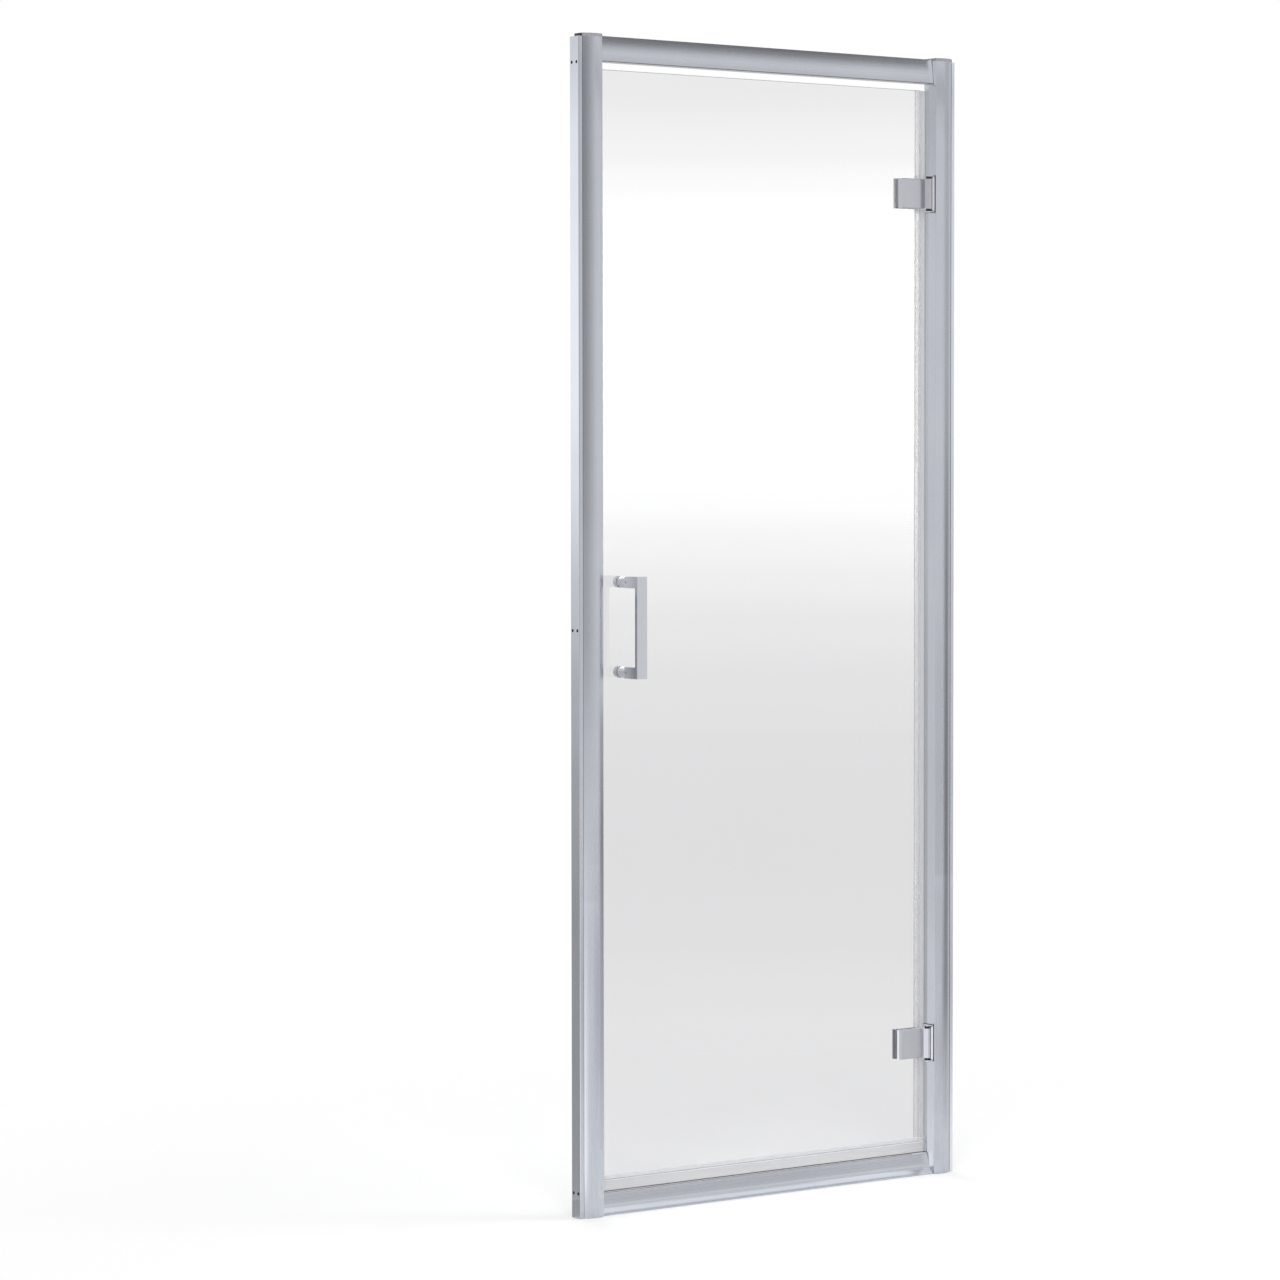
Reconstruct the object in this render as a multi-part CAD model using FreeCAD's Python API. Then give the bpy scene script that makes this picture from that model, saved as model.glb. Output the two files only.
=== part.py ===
import FreeCAD, Part
import os

os.makedirs("parts", exist_ok=True)

V = FreeCAD.Vector

# Millimetres. X runs along the door to the hinge side, Y into the shower, Z up.
# The origin lies at floor level, midway between the walls, at mid depth of the wall channels.

# Overall size
WIDTH = 756.0
HEIGHT = 1850.0

# Wall channels: a J section with a short front lip and a longer rear flange
CHANNEL_DEPTH = 24.0
CHANNEL_WALL = 1.5
CHANNEL_LIP = 7.0
CHANNEL_FLANGE = 26.0
CHANNEL_DROP = 5.0
CHANNEL_CORNER = 1.2
WALL_HOLE_D = 5.0
WALL_HOLE_PITCH = 12.8
WALL_HOLE_LOW = 39.0
WALL_HOLE_DROP = 40.0

# Posts: hollow sections with a rounded front, open towards the wall
JAMB_WIDTH = 43.0
POST_PROUD = 5.2
POST_SHOULDER = 1.9
POST_BULGE = 4.95
POST_BACK_MARGIN = 0.3
POST_BACK_WIDTH = 14.0
POST_WALL = 2.0
POST_FIT = 0.4
POST_WEB_GAP = 1.0
POST_LIP_GAP = 0.6
POST_EDGE_R = 0.8
CAP_T = 5.0
CAP_FIT = 0.25
CAP_DEPTH = 8.0
CAP_RIM = 2.0
PLUG_NOTCH = 6.0
PLUG_DEPTH = 8.0
PLUG_TAB = 15.8
PLUG_TAB_T = 2.2

# Rails between the posts
RAIL_WALL = 1.8
TOP_RAIL_DROP = 2.0
TOP_RAIL_HEIGHT = 40.0
TOP_RAIL_FRONT_TOP_Y = -3.1
TOP_RAIL_FRONT_LOW_Y = -7.7
TOP_RAIL_BULGE = 1.2
TOP_RAIL_BACK_Y = 12.5
SILL_HEIGHT = 33.5
SILL_FRONT_TOP_Y = 1.8
SILL_WAIST_Y = -1.7
SILL_WAIST_Z = 15.0
SILL_TOE_Y = -12.0
SILL_TOE_T = 1.6
SILL_SWEEP = 2.7
SILL_BACK_INSET = 1.0
PORT_WALL = 1.55
PORT_BITE = 0.6

# Screws that hold the frame together
RAIL_SCREW_D = 4.0
RAIL_SCREW_LENGTH = 22.0
SCREW_HEAD_D = 7.0
SCREW_HEAD_T = 2.2
SCREW_PLAY = 0.05
TOP_SCREW_Y = 4.0
TOP_SCREW_DROP = 20.0
CHANNEL_SCREW_D = 4.0
CHANNEL_SCREW_LENGTH = 12.0
CHANNEL_SCREW_END = 150.0

# Door glass
GLASS_T = 6.0
GLASS_FRONT_Y = 7.5
GLASS_FOOT_GAP = 18.7
GLASS_HEAD_GAP = 10.4
HINGE_SIDE_GAP = 14.4
STRIKE_SIDE_GAP = 10.4
GLASS_ARRIS = 0.6

# Hinges
LOWER_HINGE_RISE = 166.8
UPPER_HINGE_DROP = 170.8
AXIS_REACH = 15.5
KNUCKLE_R = 5.0
KNUCKLE_FLAT = 4.7
KNUCKLE_SIDE = 7.3
KNUCKLE_GAP = 0.6
PIN_D = 5.0
PIN_PLAY = 0.05
PIN_HEAD_D = 7.0
PIN_HEAD_T = 1.2
BRACKET_HEIGHT = 60.0
BRACKET_T = 2.6
BRACKET_FRONT = 2.8
BRACKET_BACK = 20.0
EAR_T = 2.8
PAD_T = 1.0
PAD_MARGIN = 0.6
PAD_FRONT = 1.2
BRACKET_SCREW_BACK = 12.8
BRACKET_SCREW_PITCH = 32.0
BRACKET_SCREW_D = 4.0
BRACKET_SCREW_LENGTH = 10.0
BUSH_WALL = 0.95
BUSH_LENGTH = 10.0
BUSH_FLANGE = 0.9
BUSH_FLANGE_T = 2.4
END_PLAY = 0.3
LEAF_WIDTH = 55.4
LEAF_HEIGHT = 49.0
LEAF_T = 8.2
LEAF_OVERHANG = 2.7
LEAF_BEVEL = 1.0
LEAF_SIDE_BEVEL = 3.0
BACK_PLATE_T = 8.0
BACK_PLATE_WIDTH = 46.0
GASKET_T = 1.0
GASKET_INSET = 1.5
CLAMP_PITCH = 26.0
CLAMP_INSET = 22.0
CLAMP_SLEEVE_WALL = 3.95
SLEEVE_PLAY = 0.1
CLAMP_SCREW_D = 6.0
CLAMP_HEAD_D = 11.0
CLAMP_HEAD_T = 3.0
CLAMP_HEAD_SINK = 0.4
CLAMP_GRIP = 5.5
CLAMP_TIP_GAP = 0.3

# Seals
SEAL_T = 1.0
SEAL_FLOOR = 1.2
SIDE_GRIP = 12.0
SIDE_FIN_T = 1.2
SIDE_FIN_GAP = 0.5
SEAL_END_GAP = 0.5
BOTTOM_GRIP = 9.0
BOTTOM_FIN_T = 1.8
BOTTOM_FIN_GAP = 0.9
MAGNET_GRIP = 5.5
MAGNET_WALL = 0.9
MAGNET_GAP = 0.8
MAGNET_PLAY = 0.1
STRIKE_HEAD = 4.6

# Handle
HANDLE_INSET = 41.5
HANDLE_Z = 925.4
HANDLE_HEIGHT = 160.0
HANDLE_WIDTH = 19.5
HANDLE_BAR_T = 6.0
HANDLE_REACH = 55.0
HANDLE_LEG = 18.0
HANDLE_LEG_DEPTH = 29.0
HANDLE_EDGE_R = 0.8
COLLAR_D = 18.0
COLLAR_NECK_D = 16.5
COLLAR_NECK = 1.2
HANDLE_GASKET_T = 0.8
HANDLE_SLEEVE_WALL = 2.95
HANDLE_BOLT_D = 6.0
HANDLE_BOLT_GRIP = 11.0
HANDLE_BOLT_TIP_GAP = 0.5
INNER_CAP_D = 18.0
INNER_CAP_T = 9.0
INNER_CAP_DOME = 2.0
INNER_CAP_END = 2.0

# Positions that follow from the sizes above
WALL_X = WIDTH / 2
POST_INNER_X = WALL_X - JAMB_WIDTH
TONGUE_X = WALL_X - CHANNEL_WALL - POST_WEB_GAP
LIP_X = WALL_X - CHANNEL_LIP
ARC_X = LIP_X - POST_LIP_GAP
TONGUE_Y = CHANNEL_DEPTH / 2 - CHANNEL_WALL - POST_FIT
POST_CORNER_Y = -TONGUE_Y - POST_PROUD
CHANNEL_HEIGHT = HEIGHT - CHANNEL_DROP
WALL_HOLE_TOP = CHANNEL_HEIGHT - WALL_HOLE_DROP
WALL_HOLE_Z = (WALL_HOLE_LOW, (WALL_HOLE_LOW + WALL_HOLE_TOP) / 2, WALL_HOLE_TOP)
CHANNEL_SCREW_Z = (CHANNEL_SCREW_END, HEIGHT / 2, HEIGHT - CHANNEL_SCREW_END)
CHANNEL_SCREW_X = (POST_INNER_X + POST_BACK_WIDTH + TONGUE_X) / 2
POST_TOP = HEIGHT - CAP_T
RAIL_TOP = HEIGHT - TOP_RAIL_DROP
RAIL_BOTTOM = RAIL_TOP - TOP_RAIL_HEIGHT
GLASS_BACK_Y = GLASS_FRONT_Y + GLASS_T
GLASS_BOTTOM = SILL_HEIGHT + GLASS_FOOT_GAP
GLASS_TOP = RAIL_BOTTOM - GLASS_HEAD_GAP
GLASS_X0 = -POST_INNER_X + STRIKE_SIDE_GAP
GLASS_X1 = POST_INNER_X - HINGE_SIDE_GAP
SEAL_FRONT_Y = GLASS_FRONT_Y - SEAL_T
SEAL_BACK_Y = GLASS_BACK_Y + SEAL_T
POST_BACK_Y = SEAL_BACK_Y + POST_BACK_MARGIN
SILL_BACK_Y = POST_BACK_Y - SILL_BACK_INSET
SEAL_LOW = GLASS_BOTTOM - SEAL_FLOOR
SIDE_SEAL_LOW = SEAL_LOW + BOTTOM_GRIP + SEAL_END_GAP
SIDE_FIN_X = POST_INNER_X - SIDE_FIN_GAP
STRIKE_HEAD_X0 = -POST_INNER_X
STRIKE_HEAD_X1 = STRIKE_HEAD_X0 + STRIKE_HEAD
DOOR_HEAD_X0 = STRIKE_HEAD_X1 + MAGNET_GAP
DOOR_HEAD_X1 = GLASS_X0 - SEAL_FLOOR
BRACKET_X1 = POST_INNER_X - PAD_T
BRACKET_X0 = BRACKET_X1 - BRACKET_T
AXIS_X = BRACKET_X0 - KNUCKLE_GAP - KNUCKLE_R
AXIS_Y = GLASS_FRONT_Y - AXIS_REACH
HINGE_Z = (GLASS_BOTTOM + LOWER_HINGE_RISE, GLASS_TOP - UPPER_HINGE_DROP)
BUSH_BORE_D = PIN_D + 2 * PIN_PLAY
BUSH_D = BUSH_BORE_D + 2 * BUSH_WALL
BUSH_FLANGE_D = BUSH_D + 2 * BUSH_FLANGE
BRACKET_SCREW_Y = AXIS_Y + BRACKET_SCREW_BACK
EAR_Z = BRACKET_HEIGHT / 2 - EAR_T
KNUCKLE_HALF = EAR_Z - END_PLAY - BUSH_FLANGE_T
LEAF_X1 = AXIS_X + LEAF_OVERHANG
LEAF_X0 = LEAF_X1 - LEAF_WIDTH
LEAF_BACK_Y = GLASS_FRONT_Y - GASKET_T
LEAF_FRONT_Y = LEAF_BACK_Y - LEAF_T
BACK_PLATE_Y = GLASS_BACK_Y + GASKET_T
CLAMP_X = LEAF_X0 + CLAMP_INSET
CLAMP_BORE_D = CLAMP_SCREW_D + 2 * SCREW_PLAY
CLAMP_HOLE_D = CLAMP_BORE_D + 2 * CLAMP_SLEEVE_WALL + 2 * SLEEVE_PLAY
HANDLE_X = GLASS_X0 + HANDLE_INSET
HANDLE_PITCH = HANDLE_HEIGHT - HANDLE_LEG
HANDLE_BORE_D = HANDLE_BOLT_D + 2 * SCREW_PLAY
HANDLE_HOLE_D = HANDLE_BORE_D + 2 * HANDLE_SLEEVE_WALL + 2 * SLEEVE_PLAY
BAR_FRONT_Y = GLASS_FRONT_Y - HANDLE_REACH
BAR_BACK_Y = BAR_FRONT_Y + HANDLE_BAR_T
LEG_END_Y = BAR_BACK_Y + HANDLE_LEG_DEPTH
COLLAR_END_Y = GLASS_FRONT_Y - HANDLE_GASKET_T
INNER_CAP_Y = GLASS_BACK_Y + HANDLE_GASKET_T


def box(x0, x1, y0, y1, z0, z1):
    return Part.makeBox(x1 - x0, y1 - y0, z1 - z0, V(x0, y0, z0))


def rod_x(x0, x1, y, z, d):
    return Part.makeCylinder(d / 2, x1 - x0, V(x0, y, z), V(1, 0, 0))


def rod_y(x, y0, y1, z, d):
    return Part.makeCylinder(d / 2, y1 - y0, V(x, y0, z), V(0, 1, 0))


def rod_z(x, y, z0, z1, d):
    return Part.makeCylinder(d / 2, z1 - z0, V(x, y, z0), V(0, 0, 1))


def line(a, b):
    return Part.makeLine(a, b)


def bulged_arc(a, b, bulge, towards):
    """Arc from a to b whose middle stands off the chord by bulge, to the side that towards points at."""
    along = (b - a).normalize()
    out = towards - along * towards.dot(along)
    out.normalize()
    return Part.Arc(a, (a + b) * 0.5 + out * bulge, b).toShape()


def face(edges):
    return Part.Face(Part.Wire(edges))


def polygon_x(points, x0, x1):
    """Prism along X from (y, z) points."""
    wire = Part.makePolygon([V(x0, y, z) for y, z in points + points[:1]])
    return Part.Face(wire).extrude(V(x1 - x0, 0, 0))


def polygon_z(points, z0, z1):
    """Prism along Z from (x, y) points."""
    wire = Part.makePolygon([V(x, y, z0) for x, y in points + points[:1]])
    return Part.Face(wire).extrude(V(0, 0, z1 - z0))


def mirrored(shape):
    return shape.mirror(V(0, 0, 0), V(1, 0, 0))


def cut_all(shape, tools):
    for tool in tools:
        shape = shape.cut(tool)
    return shape


def group(solids):
    return Part.makeCompound(solids)


def one_solid(shape):
    return shape.removeSplitter().Solids[0]


def upright_edges(shape, places):
    """Edges along Z that stand at one of the given (x, y) places."""
    found = []
    for edge in shape.Edges:
        ends = [vertex.Point for vertex in edge.Vertexes]
        if len(ends) != 2 or abs(ends[0].z - ends[1].z) < 1.0:
            continue
        for x, y in places:
            near = [abs(p.x - x) < 0.01 and abs(p.y - y) < 0.01 for p in ends]
            if all(near):
                found.append(edge)
    return found


def edges_on_plane_y(shape, y):
    return [e for e in shape.Edges if all(abs(v.Point.y - y) < 0.01 for v in e.Vertexes)]


def wall_channel():
    half = CHANNEL_DEPTH / 2
    body = box(LIP_X, WALL_X, -half, half, 0, CHANNEL_HEIGHT)
    body = body.fuse(box(WALL_X - CHANNEL_FLANGE, WALL_X, half - CHANNEL_WALL, half, 0, CHANNEL_HEIGHT))
    hollow = box(
        WALL_X - CHANNEL_FLANGE - 1,
        WALL_X - CHANNEL_WALL,
        -half + CHANNEL_WALL,
        half - CHANNEL_WALL,
        -1,
        CHANNEL_HEIGHT + 1,
    )
    body = one_solid(body.cut(hollow))
    body = body.makeFillet(CHANNEL_CORNER, upright_edges(body, [(WALL_X, -half), (WALL_X, half)]))
    holes = []
    for z in WALL_HOLE_Z:
        for y in (-WALL_HOLE_PITCH / 2, WALL_HOLE_PITCH / 2):
            holes.append(rod_x(WALL_X - 5, WALL_X + 5, y, z, WALL_HOLE_D))
    for z in CHANNEL_SCREW_Z:
        holes.append(rod_y(CHANNEL_SCREW_X, half - 3, half + 3, z, CHANNEL_SCREW_D + 2 * SCREW_PLAY))
    return one_solid(cut_all(body, holes))


def post_outline(z):
    """Plan outline of the post on the +X side."""
    tongue_front = V(TONGUE_X, -TONGUE_Y, z)
    shoulder = V(ARC_X, -TONGUE_Y, z)
    arc_start = V(ARC_X, -TONGUE_Y - POST_SHOULDER, z)
    corner = V(POST_INNER_X, POST_CORNER_Y, z)
    inner_back = V(POST_INNER_X, POST_BACK_Y, z)
    outer_back = V(POST_INNER_X + POST_BACK_WIDTH, POST_BACK_Y, z)
    step = V(POST_INNER_X + POST_BACK_WIDTH, TONGUE_Y, z)
    tongue_back = V(TONGUE_X, TONGUE_Y, z)
    edges = [
        line(tongue_front, shoulder),
        line(shoulder, arc_start),
        bulged_arc(arc_start, corner, POST_BULGE, V(0, -1, 0)),
        line(corner, inner_back),
        line(inner_back, outer_back),
        line(outer_back, step),
        line(step, tongue_back),
        line(tongue_back, tongue_front),
    ]
    return face(edges)


def post_hollow(z, wall):
    return post_outline(z).makeOffset2D(-wall, join=2)


def port_radius():
    return RAIL_SCREW_D / 2 + SCREW_PLAY + PORT_WALL


def rail_screw_places():
    """(y, z) of the screws that hold the rails to each post."""
    reach = RAIL_WALL + port_radius() - PORT_BITE
    return [
        (TOP_SCREW_Y, RAIL_BOTTOM + reach),
        (TOP_RAIL_BACK_Y - reach, RAIL_TOP - TOP_SCREW_DROP),
        (SILL_BACK_Y - reach, reach),
        (SILL_BACK_Y - reach, SILL_HEIGHT - reach),
    ]


def bracket_screw_places():
    half = BRACKET_SCREW_PITCH / 2
    return [(BRACKET_SCREW_Y, z + dz) for z in HINGE_Z for dz in (-half, half)]


def post(with_hinge_holes):
    body = post_outline(0).extrude(V(0, 0, POST_TOP))
    hollow = post_hollow(-1, POST_WALL).extrude(V(0, 0, POST_TOP + 2))
    half = TONGUE_Y - POST_WALL
    mouth = box(TONGUE_X - POST_WALL - 1, TONGUE_X + 1, -half, half, -1, POST_TOP + 1)
    notch = box(ARC_X, TONGUE_X + 1, -CHANNEL_DEPTH, CHANNEL_DEPTH, POST_TOP - PLUG_NOTCH, POST_TOP + 1)
    body = body.makeFillet(POST_EDGE_R, upright_edges(body, [(POST_INNER_X, POST_CORNER_Y)]))
    body = cut_all(body, [hollow, mouth, notch])
    holes = []
    for y, z in rail_screw_places():
        hole_d = RAIL_SCREW_D + 2 * SCREW_PLAY
        holes.append(rod_x(POST_INNER_X - 1, POST_INNER_X + POST_WALL + 1, y, z, hole_d))
    for z in CHANNEL_SCREW_Z:
        hole_d = CHANNEL_SCREW_D + 2 * SCREW_PLAY
        holes.append(rod_y(CHANNEL_SCREW_X, TONGUE_Y - POST_WALL - 1, TONGUE_Y + 1, z, hole_d))
    if with_hinge_holes:
        for y, z in bracket_screw_places():
            hole_d = BRACKET_SCREW_D + 2 * SCREW_PLAY
            holes.append(rod_x(POST_INNER_X - 1, POST_INNER_X + POST_WALL + 1, y, z, hole_d))
    return one_solid(cut_all(body, holes))


def post_cap():
    """Cover on the post's top with a spigot that drops into the hollow."""
    cover = post_outline(POST_TOP).extrude(V(0, 0, CAP_T))
    cover = cover.makeFillet(POST_EDGE_R, upright_edges(cover, [(POST_INNER_X, POST_CORNER_Y)]))
    depth = CHANNEL_DEPTH
    cover = cover.cut(box(ARC_X, TONGUE_X + 1, -depth, depth, POST_TOP - 1, HEIGHT + 1))
    low = POST_TOP - CAP_DEPTH
    rim = post_hollow(low, POST_WALL + CAP_FIT).extrude(V(0, 0, CAP_DEPTH))
    core = post_hollow(low - 1, POST_WALL + CAP_FIT + CAP_RIM).extrude(V(0, 0, CAP_DEPTH + 1))
    rim = rim.cut(core)
    rim = rim.cut(box(ARC_X - CAP_FIT, TONGUE_X + 1, -depth, depth, low - 1, POST_TOP + 1))
    return one_solid(cover.fuse(rim))


def tongue_plug():
    """Black stopper on the notched end of the post, with a tab that stands up beside the cap."""
    low = POST_TOP - PLUG_NOTCH
    x0 = ARC_X + CAP_FIT
    head = box(x0, TONGUE_X, -TONGUE_Y, TONGUE_Y, low, POST_TOP)
    tab = box(x0, x0 + PLUG_TAB_T, -TONGUE_Y, -TONGUE_Y + PLUG_TAB, POST_TOP, HEIGHT - CAP_FIT)
    half = TONGUE_Y - POST_WALL - CAP_FIT
    tail = box(x0, TONGUE_X - POST_WALL - CAP_FIT, -half, half, low - PLUG_DEPTH, low)
    return one_solid(head.fuse(tab).fuse(tail))


def screw_x(x_seat, y, z, d, length, way):
    """Pan head screw whose head sits at x_seat; the shank runs along -X for way = -1."""
    head = Part.makeCylinder(SCREW_HEAD_D / 2, SCREW_HEAD_T, V(x_seat, y, z), V(-way, 0, 0))
    shank = Part.makeCylinder(d / 2, length, V(x_seat, y, z), V(way, 0, 0))
    return one_solid(head.fuse(shank))


def rail_screws():
    screws = []
    for y, z in rail_screw_places():
        screw = screw_x(POST_INNER_X + POST_WALL, y, z, RAIL_SCREW_D, RAIL_SCREW_LENGTH, -1)
        screws.append(screw)
        screws.append(mirrored(screw))
    return group(screws)


def channel_screws():
    seat = CHANNEL_DEPTH / 2
    screws = []
    for z in CHANNEL_SCREW_Z:
        head = rod_y(CHANNEL_SCREW_X, seat, seat + SCREW_HEAD_T, z, SCREW_HEAD_D)
        shank = rod_y(CHANNEL_SCREW_X, seat - CHANNEL_SCREW_LENGTH, seat, z, CHANNEL_SCREW_D)
        screw = one_solid(head.fuse(shank))
        screws.append(screw)
        screws.append(mirrored(screw))
    return group(screws)


def with_ports(shell, places):
    """Adds the screw ports to a hollow rail."""
    x0 = -POST_INNER_X
    x1 = POST_INNER_X
    for y, z in places:
        shell = shell.fuse(rod_x(x0, x1, y, z, 2 * port_radius()))
    bore = RAIL_SCREW_D + 2 * SCREW_PLAY
    return one_solid(cut_all(shell, [rod_x(x0 - 1, x1 + 1, y, z, bore) for y, z in places]))


def top_rail():
    x0 = -POST_INNER_X
    front_top = V(x0, TOP_RAIL_FRONT_TOP_Y, RAIL_TOP)
    front_low = V(x0, TOP_RAIL_FRONT_LOW_Y, RAIL_BOTTOM)
    back_low = V(x0, TOP_RAIL_BACK_Y, RAIL_BOTTOM)
    back_top = V(x0, TOP_RAIL_BACK_Y, RAIL_TOP)
    edges = [
        bulged_arc(front_top, front_low, TOP_RAIL_BULGE, V(0, -1, 0)),
        line(front_low, back_low),
        line(back_low, back_top),
        line(back_top, front_top),
    ]
    outline = face(edges)
    hollow = outline.makeOffset2D(-RAIL_WALL, join=2)
    along = V(2 * POST_INNER_X, 0, 0)
    shell = outline.extrude(along).cut(hollow.extrude(along))
    return with_ports(shell, rail_screw_places()[:2])


def bottom_rail():
    """Low sill whose front sweeps out into a thin toe on the floor."""
    x0 = -POST_INNER_X
    toe_low = V(x0, SILL_TOE_Y, 0)
    toe_top = V(x0, SILL_TOE_Y, SILL_TOE_T)
    waist = V(x0, SILL_WAIST_Y, SILL_WAIST_Z)
    front_top = V(x0, SILL_FRONT_TOP_Y, SILL_HEIGHT)
    back_top = V(x0, SILL_BACK_Y, SILL_HEIGHT)
    back_low = V(x0, SILL_BACK_Y, 0)
    edges = [
        line(toe_low, toe_top),
        bulged_arc(toe_top, waist, SILL_SWEEP, V(0, 1, -1)),
        line(waist, front_top),
        line(front_top, back_top),
        line(back_top, back_low),
        line(back_low, toe_low),
    ]
    body = face(edges).extrude(V(2 * POST_INNER_X, 0, 0))
    w = RAIL_WALL
    inside = [
        (SILL_FRONT_TOP_Y + w, SILL_HEIGHT - w),
        (SILL_BACK_Y - w, SILL_HEIGHT - w),
        (SILL_BACK_Y - w, w),
        (SILL_WAIST_Y + w, w),
        (SILL_WAIST_Y + w, SILL_WAIST_Z),
    ]
    shell = body.cut(polygon_x(inside, x0 - 1, POST_INNER_X + 1))
    return with_ports(shell, rail_screw_places()[2:])


def bracket(z):
    """Hinge bracket on the post: a plate with an ear above and below the knuckle."""
    x0 = BRACKET_X0
    x1 = BRACKET_X1
    half = BRACKET_HEIGHT / 2
    body = box(x0, x1, AXIS_Y - BRACKET_FRONT, AXIS_Y + BRACKET_BACK, z - half, z + half)
    for low in (z - half, z + EAR_Z):
        ear = box(AXIS_X, x1, AXIS_Y - KNUCKLE_R, AXIS_Y + KNUCKLE_R, low, low + EAR_T)
        ear = ear.fuse(rod_z(AXIS_X, AXIS_Y, low, low + EAR_T, 2 * KNUCKLE_R))
        body = body.fuse(ear)
    holes = [rod_z(AXIS_X, AXIS_Y, z - half - 1, z + half + 1, PIN_D + 2 * SCREW_PLAY)]
    for dz in (-BRACKET_SCREW_PITCH / 2, BRACKET_SCREW_PITCH / 2):
        hole_d = BRACKET_SCREW_D + 2 * SCREW_PLAY
        holes.append(rod_x(x0 - 1, x1 + 1, BRACKET_SCREW_Y, z + dz, hole_d))
    return one_solid(cut_all(body, holes))


def bracket_pads():
    """Dark pads under the brackets that show as a thin rim on the post."""
    pads = []
    half = BRACKET_HEIGHT / 2 + PAD_MARGIN
    y0 = AXIS_Y - KNUCKLE_R - PAD_FRONT
    y1 = AXIS_Y + BRACKET_BACK + PAD_MARGIN
    hole_d = BRACKET_SCREW_D + 2 * SCREW_PLAY
    for z in HINGE_Z:
        pad = box(BRACKET_X1, POST_INNER_X, y0, y1, z - half, z + half)
        for dz in (-BRACKET_SCREW_PITCH / 2, BRACKET_SCREW_PITCH / 2):
            pad = pad.cut(rod_x(BRACKET_X1 - 1, POST_INNER_X + 1, BRACKET_SCREW_Y, z + dz, hole_d))
        pads.append(one_solid(pad))
    return group(pads)


def bracket_screws():
    screws = []
    for y, z in bracket_screw_places():
        screws.append(screw_x(BRACKET_X0, y, z, BRACKET_SCREW_D, BRACKET_SCREW_LENGTH, 1))
    return group(screws)


def hinge_pins():
    pins = []
    half = BRACKET_HEIGHT / 2
    for z in HINGE_Z:
        shank = rod_z(AXIS_X, AXIS_Y, z - half, z + half, PIN_D)
        top = rod_z(AXIS_X, AXIS_Y, z + half, z + half + PIN_HEAD_T, PIN_HEAD_D)
        foot = rod_z(AXIS_X, AXIS_Y, z - half - PIN_HEAD_T, z - half, PIN_HEAD_D)
        pins.append(one_solid(shank.fuse(top).fuse(foot)))
    return group(pins)


def hinge_bushes():
    bushes = []
    for z in HINGE_Z:
        for way in (-1, 1):
            seat = V(AXIS_X, AXIS_Y, z + way * KNUCKLE_HALF)
            flange = Part.makeCylinder(BUSH_FLANGE_D / 2, BUSH_FLANGE_T, seat, V(0, 0, way))
            sleeve = Part.makeCylinder(BUSH_D / 2, BUSH_LENGTH, seat, V(0, 0, -way))
            hole = rod_z(AXIS_X, AXIS_Y, z - BRACKET_HEIGHT, z + BRACKET_HEIGHT, BUSH_BORE_D)
            bushes.append(one_solid(flange.fuse(sleeve).cut(hole)))
    return group(bushes)


def clamp_places(z):
    return [z - CLAMP_PITCH / 2, z + CLAMP_PITCH / 2]


def knuckle_block(low, high):
    """Round knuckle with a flat towards the front left, and a neck back to the plate."""
    x0 = AXIS_X - KNUCKLE_SIDE
    front = AXIS_Y - KNUCKLE_R
    body = box(x0, AXIS_X, front, AXIS_Y, low, high)
    body = body.fuse(box(x0, LEAF_X1, AXIS_Y, LEAF_FRONT_Y + LEAF_BEVEL + 1, low, high))
    body = body.fuse(rod_z(AXIS_X, AXIS_Y, low, high, 2 * KNUCKLE_R))
    level = AXIS_X + AXIS_Y - KNUCKLE_FLAT * 2 ** 0.5
    left = x0 - 1
    far = front - 1
    return body.cut(polygon_z([(left, level - left), (left, far), (level - far, far)], low - 1, high + 1))


def hinge_leaf(z):
    """Front clamp plate with the knuckle that stands in front of it."""
    half = LEAF_HEIGHT / 2
    plan = [
        (LEAF_X0, LEAF_BACK_Y),
        (LEAF_X0, LEAF_FRONT_Y + LEAF_SIDE_BEVEL),
        (LEAF_X0 + LEAF_SIDE_BEVEL, LEAF_FRONT_Y),
        (LEAF_X1, LEAF_FRONT_Y),
        (LEAF_X1, LEAF_BACK_Y),
    ]
    plate = polygon_z(plan, z - half, z + half)
    rim = [e for e in edges_on_plane_y(plate, LEAF_FRONT_Y) if abs(e.CenterOfMass.z - z) > half - 0.01]
    plate = plate.makeChamfer(LEAF_BEVEL, rim)
    low = z - KNUCKLE_HALF
    high = z + KNUCKLE_HALF
    body = plate.fuse(knuckle_block(low, high))
    holes = [rod_z(AXIS_X, AXIS_Y, low - 1, high + 1, BUSH_D)]
    for hole_z in clamp_places(z):
        depth = LEAF_BACK_Y - CLAMP_GRIP
        holes.append(rod_y(CLAMP_X, depth, LEAF_BACK_Y + 1, hole_z, CLAMP_BORE_D))
    return one_solid(cut_all(body, holes))


def hinge_back_plates():
    plates = []
    half = LEAF_HEIGHT / 2
    back = BACK_PLATE_Y + BACK_PLATE_T
    for z in HINGE_Z:
        plate = box(LEAF_X0, LEAF_X0 + BACK_PLATE_WIDTH, BACK_PLATE_Y, back, z - half, z + half)
        plate = plate.makeChamfer(LEAF_BEVEL, edges_on_plane_y(plate, back))
        for hole_z in clamp_places(z):
            plate = plate.cut(rod_y(CLAMP_X, BACK_PLATE_Y - 1, back + 1, hole_z, CLAMP_BORE_D))
            seat_y = back - CLAMP_HEAD_SINK - CLAMP_HEAD_T
            plate = plate.cut(rod_y(CLAMP_X, seat_y, back + 1, hole_z, CLAMP_HEAD_D + 2 * SCREW_PLAY))
        plates.append(one_solid(plate))
    return group(plates)


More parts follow.
